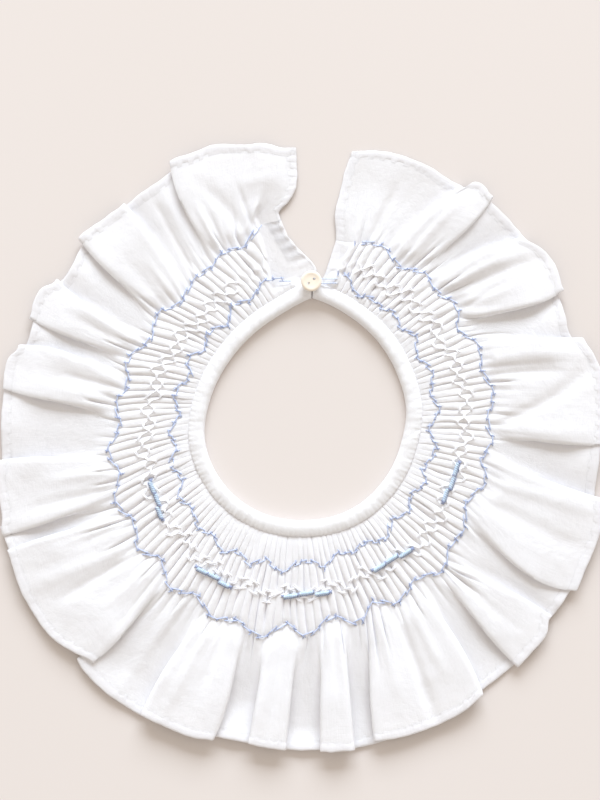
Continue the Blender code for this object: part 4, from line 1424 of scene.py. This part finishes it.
def drill(button, x, y):
    """Cuts one round hole through the button."""
    build = bmesh.new()
    radius = BUTTON_HOLE / 2 * MM
    bmesh.ops.create_cone(build, cap_ends=True, segments=DRILL_SIDES, radius1=radius, radius2=radius,
                          depth=DRILL_LENGTH * MM)
    bmesh.ops.translate(build, vec=(x * MM, y * MM, 0), verts=build.verts)
    mesh = bpy.data.meshes.new("drill")
    build.to_mesh(mesh)
    build.free()
    tool = put_in_scene("drill", mesh)
    cut = button.modifiers.new("hole", "BOOLEAN")
    cut.object = tool
    cut.operation = "DIFFERENCE"
    return tool


button = turned_button()
hole_turn = math.radians(BUTTON_HOLE_TURN)
hole_step = np.array([math.cos(hole_turn), math.sin(hole_turn)]) * BUTTON_HOLE_SPACING / 2
tools = [drill(button, *(hole_step * side)) for side in (-1, 1)]
bpy.context.view_layer.update()
apply_modifiers(button)
for tool in tools:
    bpy.data.objects.remove(tool)
button_spot = place(BUTTON_AT.angle, BUTTON_AT.radius, BUTTON_UNDERSIDE)
button.data.transform(Matrix.Translation(Vector(button_spot * MM)))
button.data.shade_smooth()
button.data.set_sharp_from_angle(angle=math.radians(BUTTON_EDGE_ANGLE))
button.data.materials.clear()
button.data.materials.append(cream_button_finish())
finish_piece(button, "button", "button")

# %% [markdown]
# Cream thread holds the button: four strands down from its holes, bound round as a shank.

# %% The button's thread
SHANK_FOOT = 1.2
SHANK_STRAND = 0.14
SHANK_TURNS = 5
shank = Threads()
for side in (-1, 1):
    hole = button_spot + np.array([*(hole_step * side), 0])
    for spread in (-0.18, 0.18):
        top = hole + np.array([spread, -spread, 1.2])
        neck = button_spot + np.array([0.35 * side + spread, spread, -1.0])
        foot = button_spot + np.array([0.5 * side + spread, 2 * spread, SHANK_FOOT - BUTTON_UNDERSIDE])
        underneath = hole + np.array([spread, -spread, 0.1])
        shank.lay([top, underneath, neck, lerp(neck, foot, 0.5), foot], SHANK_STRAND, sides=5)
turns = np.linspace(0, SHANK_TURNS * 2 * np.pi, 12 * SHANK_TURNS + 1)[:, None]
wound = button_spot + np.array([0, 0, -1.1]) - turns * np.array([0, 0, 0.05])
wound = wound + np.cos(turns) * np.array([0.6, 0, 0]) + np.sin(turns) * np.array([0, 0.4, 0])
shank.lay(wound, 0.16, sides=5)
finish_piece(shank.make("button_shank_thread", CREAM_THREAD), "embroidery_thread")

# %% [markdown]
# The loop is a pair of blue strands from the right end, round under the button and back, each twisted
# from two threads. At the right end both dip down to the cloth.

# %% The thread loop
LOOP_SPREAD = 1.9
LOOP_LEVEL = 4.05
LOOP_END = Edge(12.6, 66.4)
LOOP_TWIST = 2.4
LOOP_PLY = 0.17
LOOP_STRAND = 0.16
LOOP_STATIONS = 70
LOOP_TURN_STEPS = 8


def loop_path():
    """The loop's centre line: out, round under the button and back."""
    end = place(LOOP_END.angle, LOOP_END.radius, LOOP_LEVEL)
    turn = place(BUTTON_AT.angle, BUTTON_AT.radius, LOOP_LEVEL)
    half = np.array([0, LOOP_SPREAD / 2, 0])
    points = [end + half - np.array([0, 0, 0.9]), end + half - np.array([1.6, 0, 0.1]), turn + half]
    for step in range(1, LOOP_TURN_STEPS):
        angle = math.radians(90 + 180 * step / LOOP_TURN_STEPS)
        points.append(turn + np.array([math.cos(angle), math.sin(angle), 0]) * LOOP_SPREAD / 2)
    points += [turn - half, end - half - np.array([1.6, 0, 0.1]), end - half - np.array([0, 0, 0.9])]
    path = np.array(points)
    steps = lengths(path)
    even = np.linspace(0, steps[-1], LOOP_STATIONS)
    return np.stack([np.interp(even, steps, path[:, axis]) for axis in range(3)], axis=-1), even


loop = Threads()
centre, run = loop_path()
for strand in (0, 1):
    turn = 2 * np.pi * run / LOOP_TWIST + np.pi * strand
    ahead = np.gradient(centre, axis=0)
    ahead /= np.linalg.norm(ahead, axis=1, keepdims=True)
    aside = np.cross(ahead, (0, 0, 1.0))
    path = centre + LOOP_PLY * (np.cos(turn)[:, None] * aside + np.sin(turn)[:, None] * np.array([0, 0, 1.0]))
    loop.lay(path, LOOP_STRAND)
print("loop from end to end, mm:", round(float(run[-1]), 1))
finish_piece(loop.make("loop_strands", LOOP_THREAD), "embroidery_thread", "thread_loop")

# %% [markdown]
# The strip is one cut, 1.12 m long: its smocked part is about 40 mm of the width and the free frill the
# other 52 mm. The depth of the pleats is folded away inside the band.

# %% [markdown]
# The collar lies on a pale warm surface, seen from straight above. One large soft light stands beyond the
# back opening, low enough to draw the folds, and the room fills the rest. A long lens keeps the outline
# as a pattern cutter would see it.

# %% The surface
FLOOR_SIZE = 4.0


def pale_surface():
    """A smooth painted board, warm white."""
    material, shader = new_material("pale_surface", (0.70, 0.648, 0.622), 0.9)
    shader.inputs["Specular IOR Level"].default_value = 0.1
    spot = add_node(material, "ShaderNodeTexCoord")
    tone = add_node(material, "ShaderNodeTexNoise", Scale=3.0, Detail=1.0)
    link(material, spot.outputs["Object"], tone.inputs["Vector"])
    colours = colour_between(material, tone.outputs["Fac"], (0.695, 0.643, 0.616), (0.705, 0.653, 0.628))
    link(material, colours, shader.inputs["Base Color"])
    return material


bpy.ops.mesh.primitive_plane_add(size=FLOOR_SIZE, location=(0, 0, 0))
surface = bpy.context.object
surface.name = "pale_surface"
surface.data.materials.append(pale_surface())

# %% The light
KEY_DISTANCE = 7.0
KEY_ELEVATION = 24.5
KEY_AZIMUTH = 5
KEY_WIDTH = 6.0
KEY_HEIGHT = 3.0
KEY_POWER = 715.0
KEY_COLOUR = (0.90, 1.0, 1.10)
ROOM_LIGHT = 0.70
ROOM_COLOUR = (1.09, 1.0, 0.90)


def aim(thing, target):
    """Turns a light to face a point."""
    thing.rotation_euler = (Vector(target) - thing.location).to_track_quat("-Z", "Y").to_euler()


key_light = bpy.data.lights.new("window", "AREA")
key_light.shape = "RECTANGLE"
key_light.size = KEY_WIDTH
key_light.size_y = KEY_HEIGHT
key_light.energy = KEY_POWER
key_light.color = KEY_COLOUR
key = put_in_scene("window", key_light)
key_reach = KEY_DISTANCE * math.cos(math.radians(KEY_ELEVATION))
key.location = (
    key_reach * math.sin(math.radians(KEY_AZIMUTH)),
    key_reach * math.cos(math.radians(KEY_AZIMUTH)),
    KEY_DISTANCE * math.sin(math.radians(KEY_ELEVATION)),
)
aim(key, (0, 0, 0))
room = bpy.data.worlds.new("room")
room.use_nodes = True
room.node_tree.nodes["Background"].inputs["Color"].default_value = (*ROOM_COLOUR, 1)
room.node_tree.nodes["Background"].inputs["Strength"].default_value = ROOM_LIGHT
bpy.context.scene.world = room
bpy.context.scene.view_settings.view_transform = "Standard"

# %% The camera
PICTURE_HEIGHT = 0.348
PICTURE_MIDDLE = (-0.00071, 0.0192)
LENS = 85
SENSOR = 36
CLOTH_LEVEL = 0.003

camera_data = bpy.data.cameras.new("camera")
camera_data.lens = LENS
camera_data.sensor_fit = "VERTICAL"
camera_data.sensor_height = SENSOR
camera_data.clip_end = 20
camera = put_in_scene("camera", camera_data)
camera.location = (*PICTURE_MIDDLE, PICTURE_HEIGHT * LENS / SENSOR + CLOTH_LEVEL)
bpy.context.scene.camera = camera
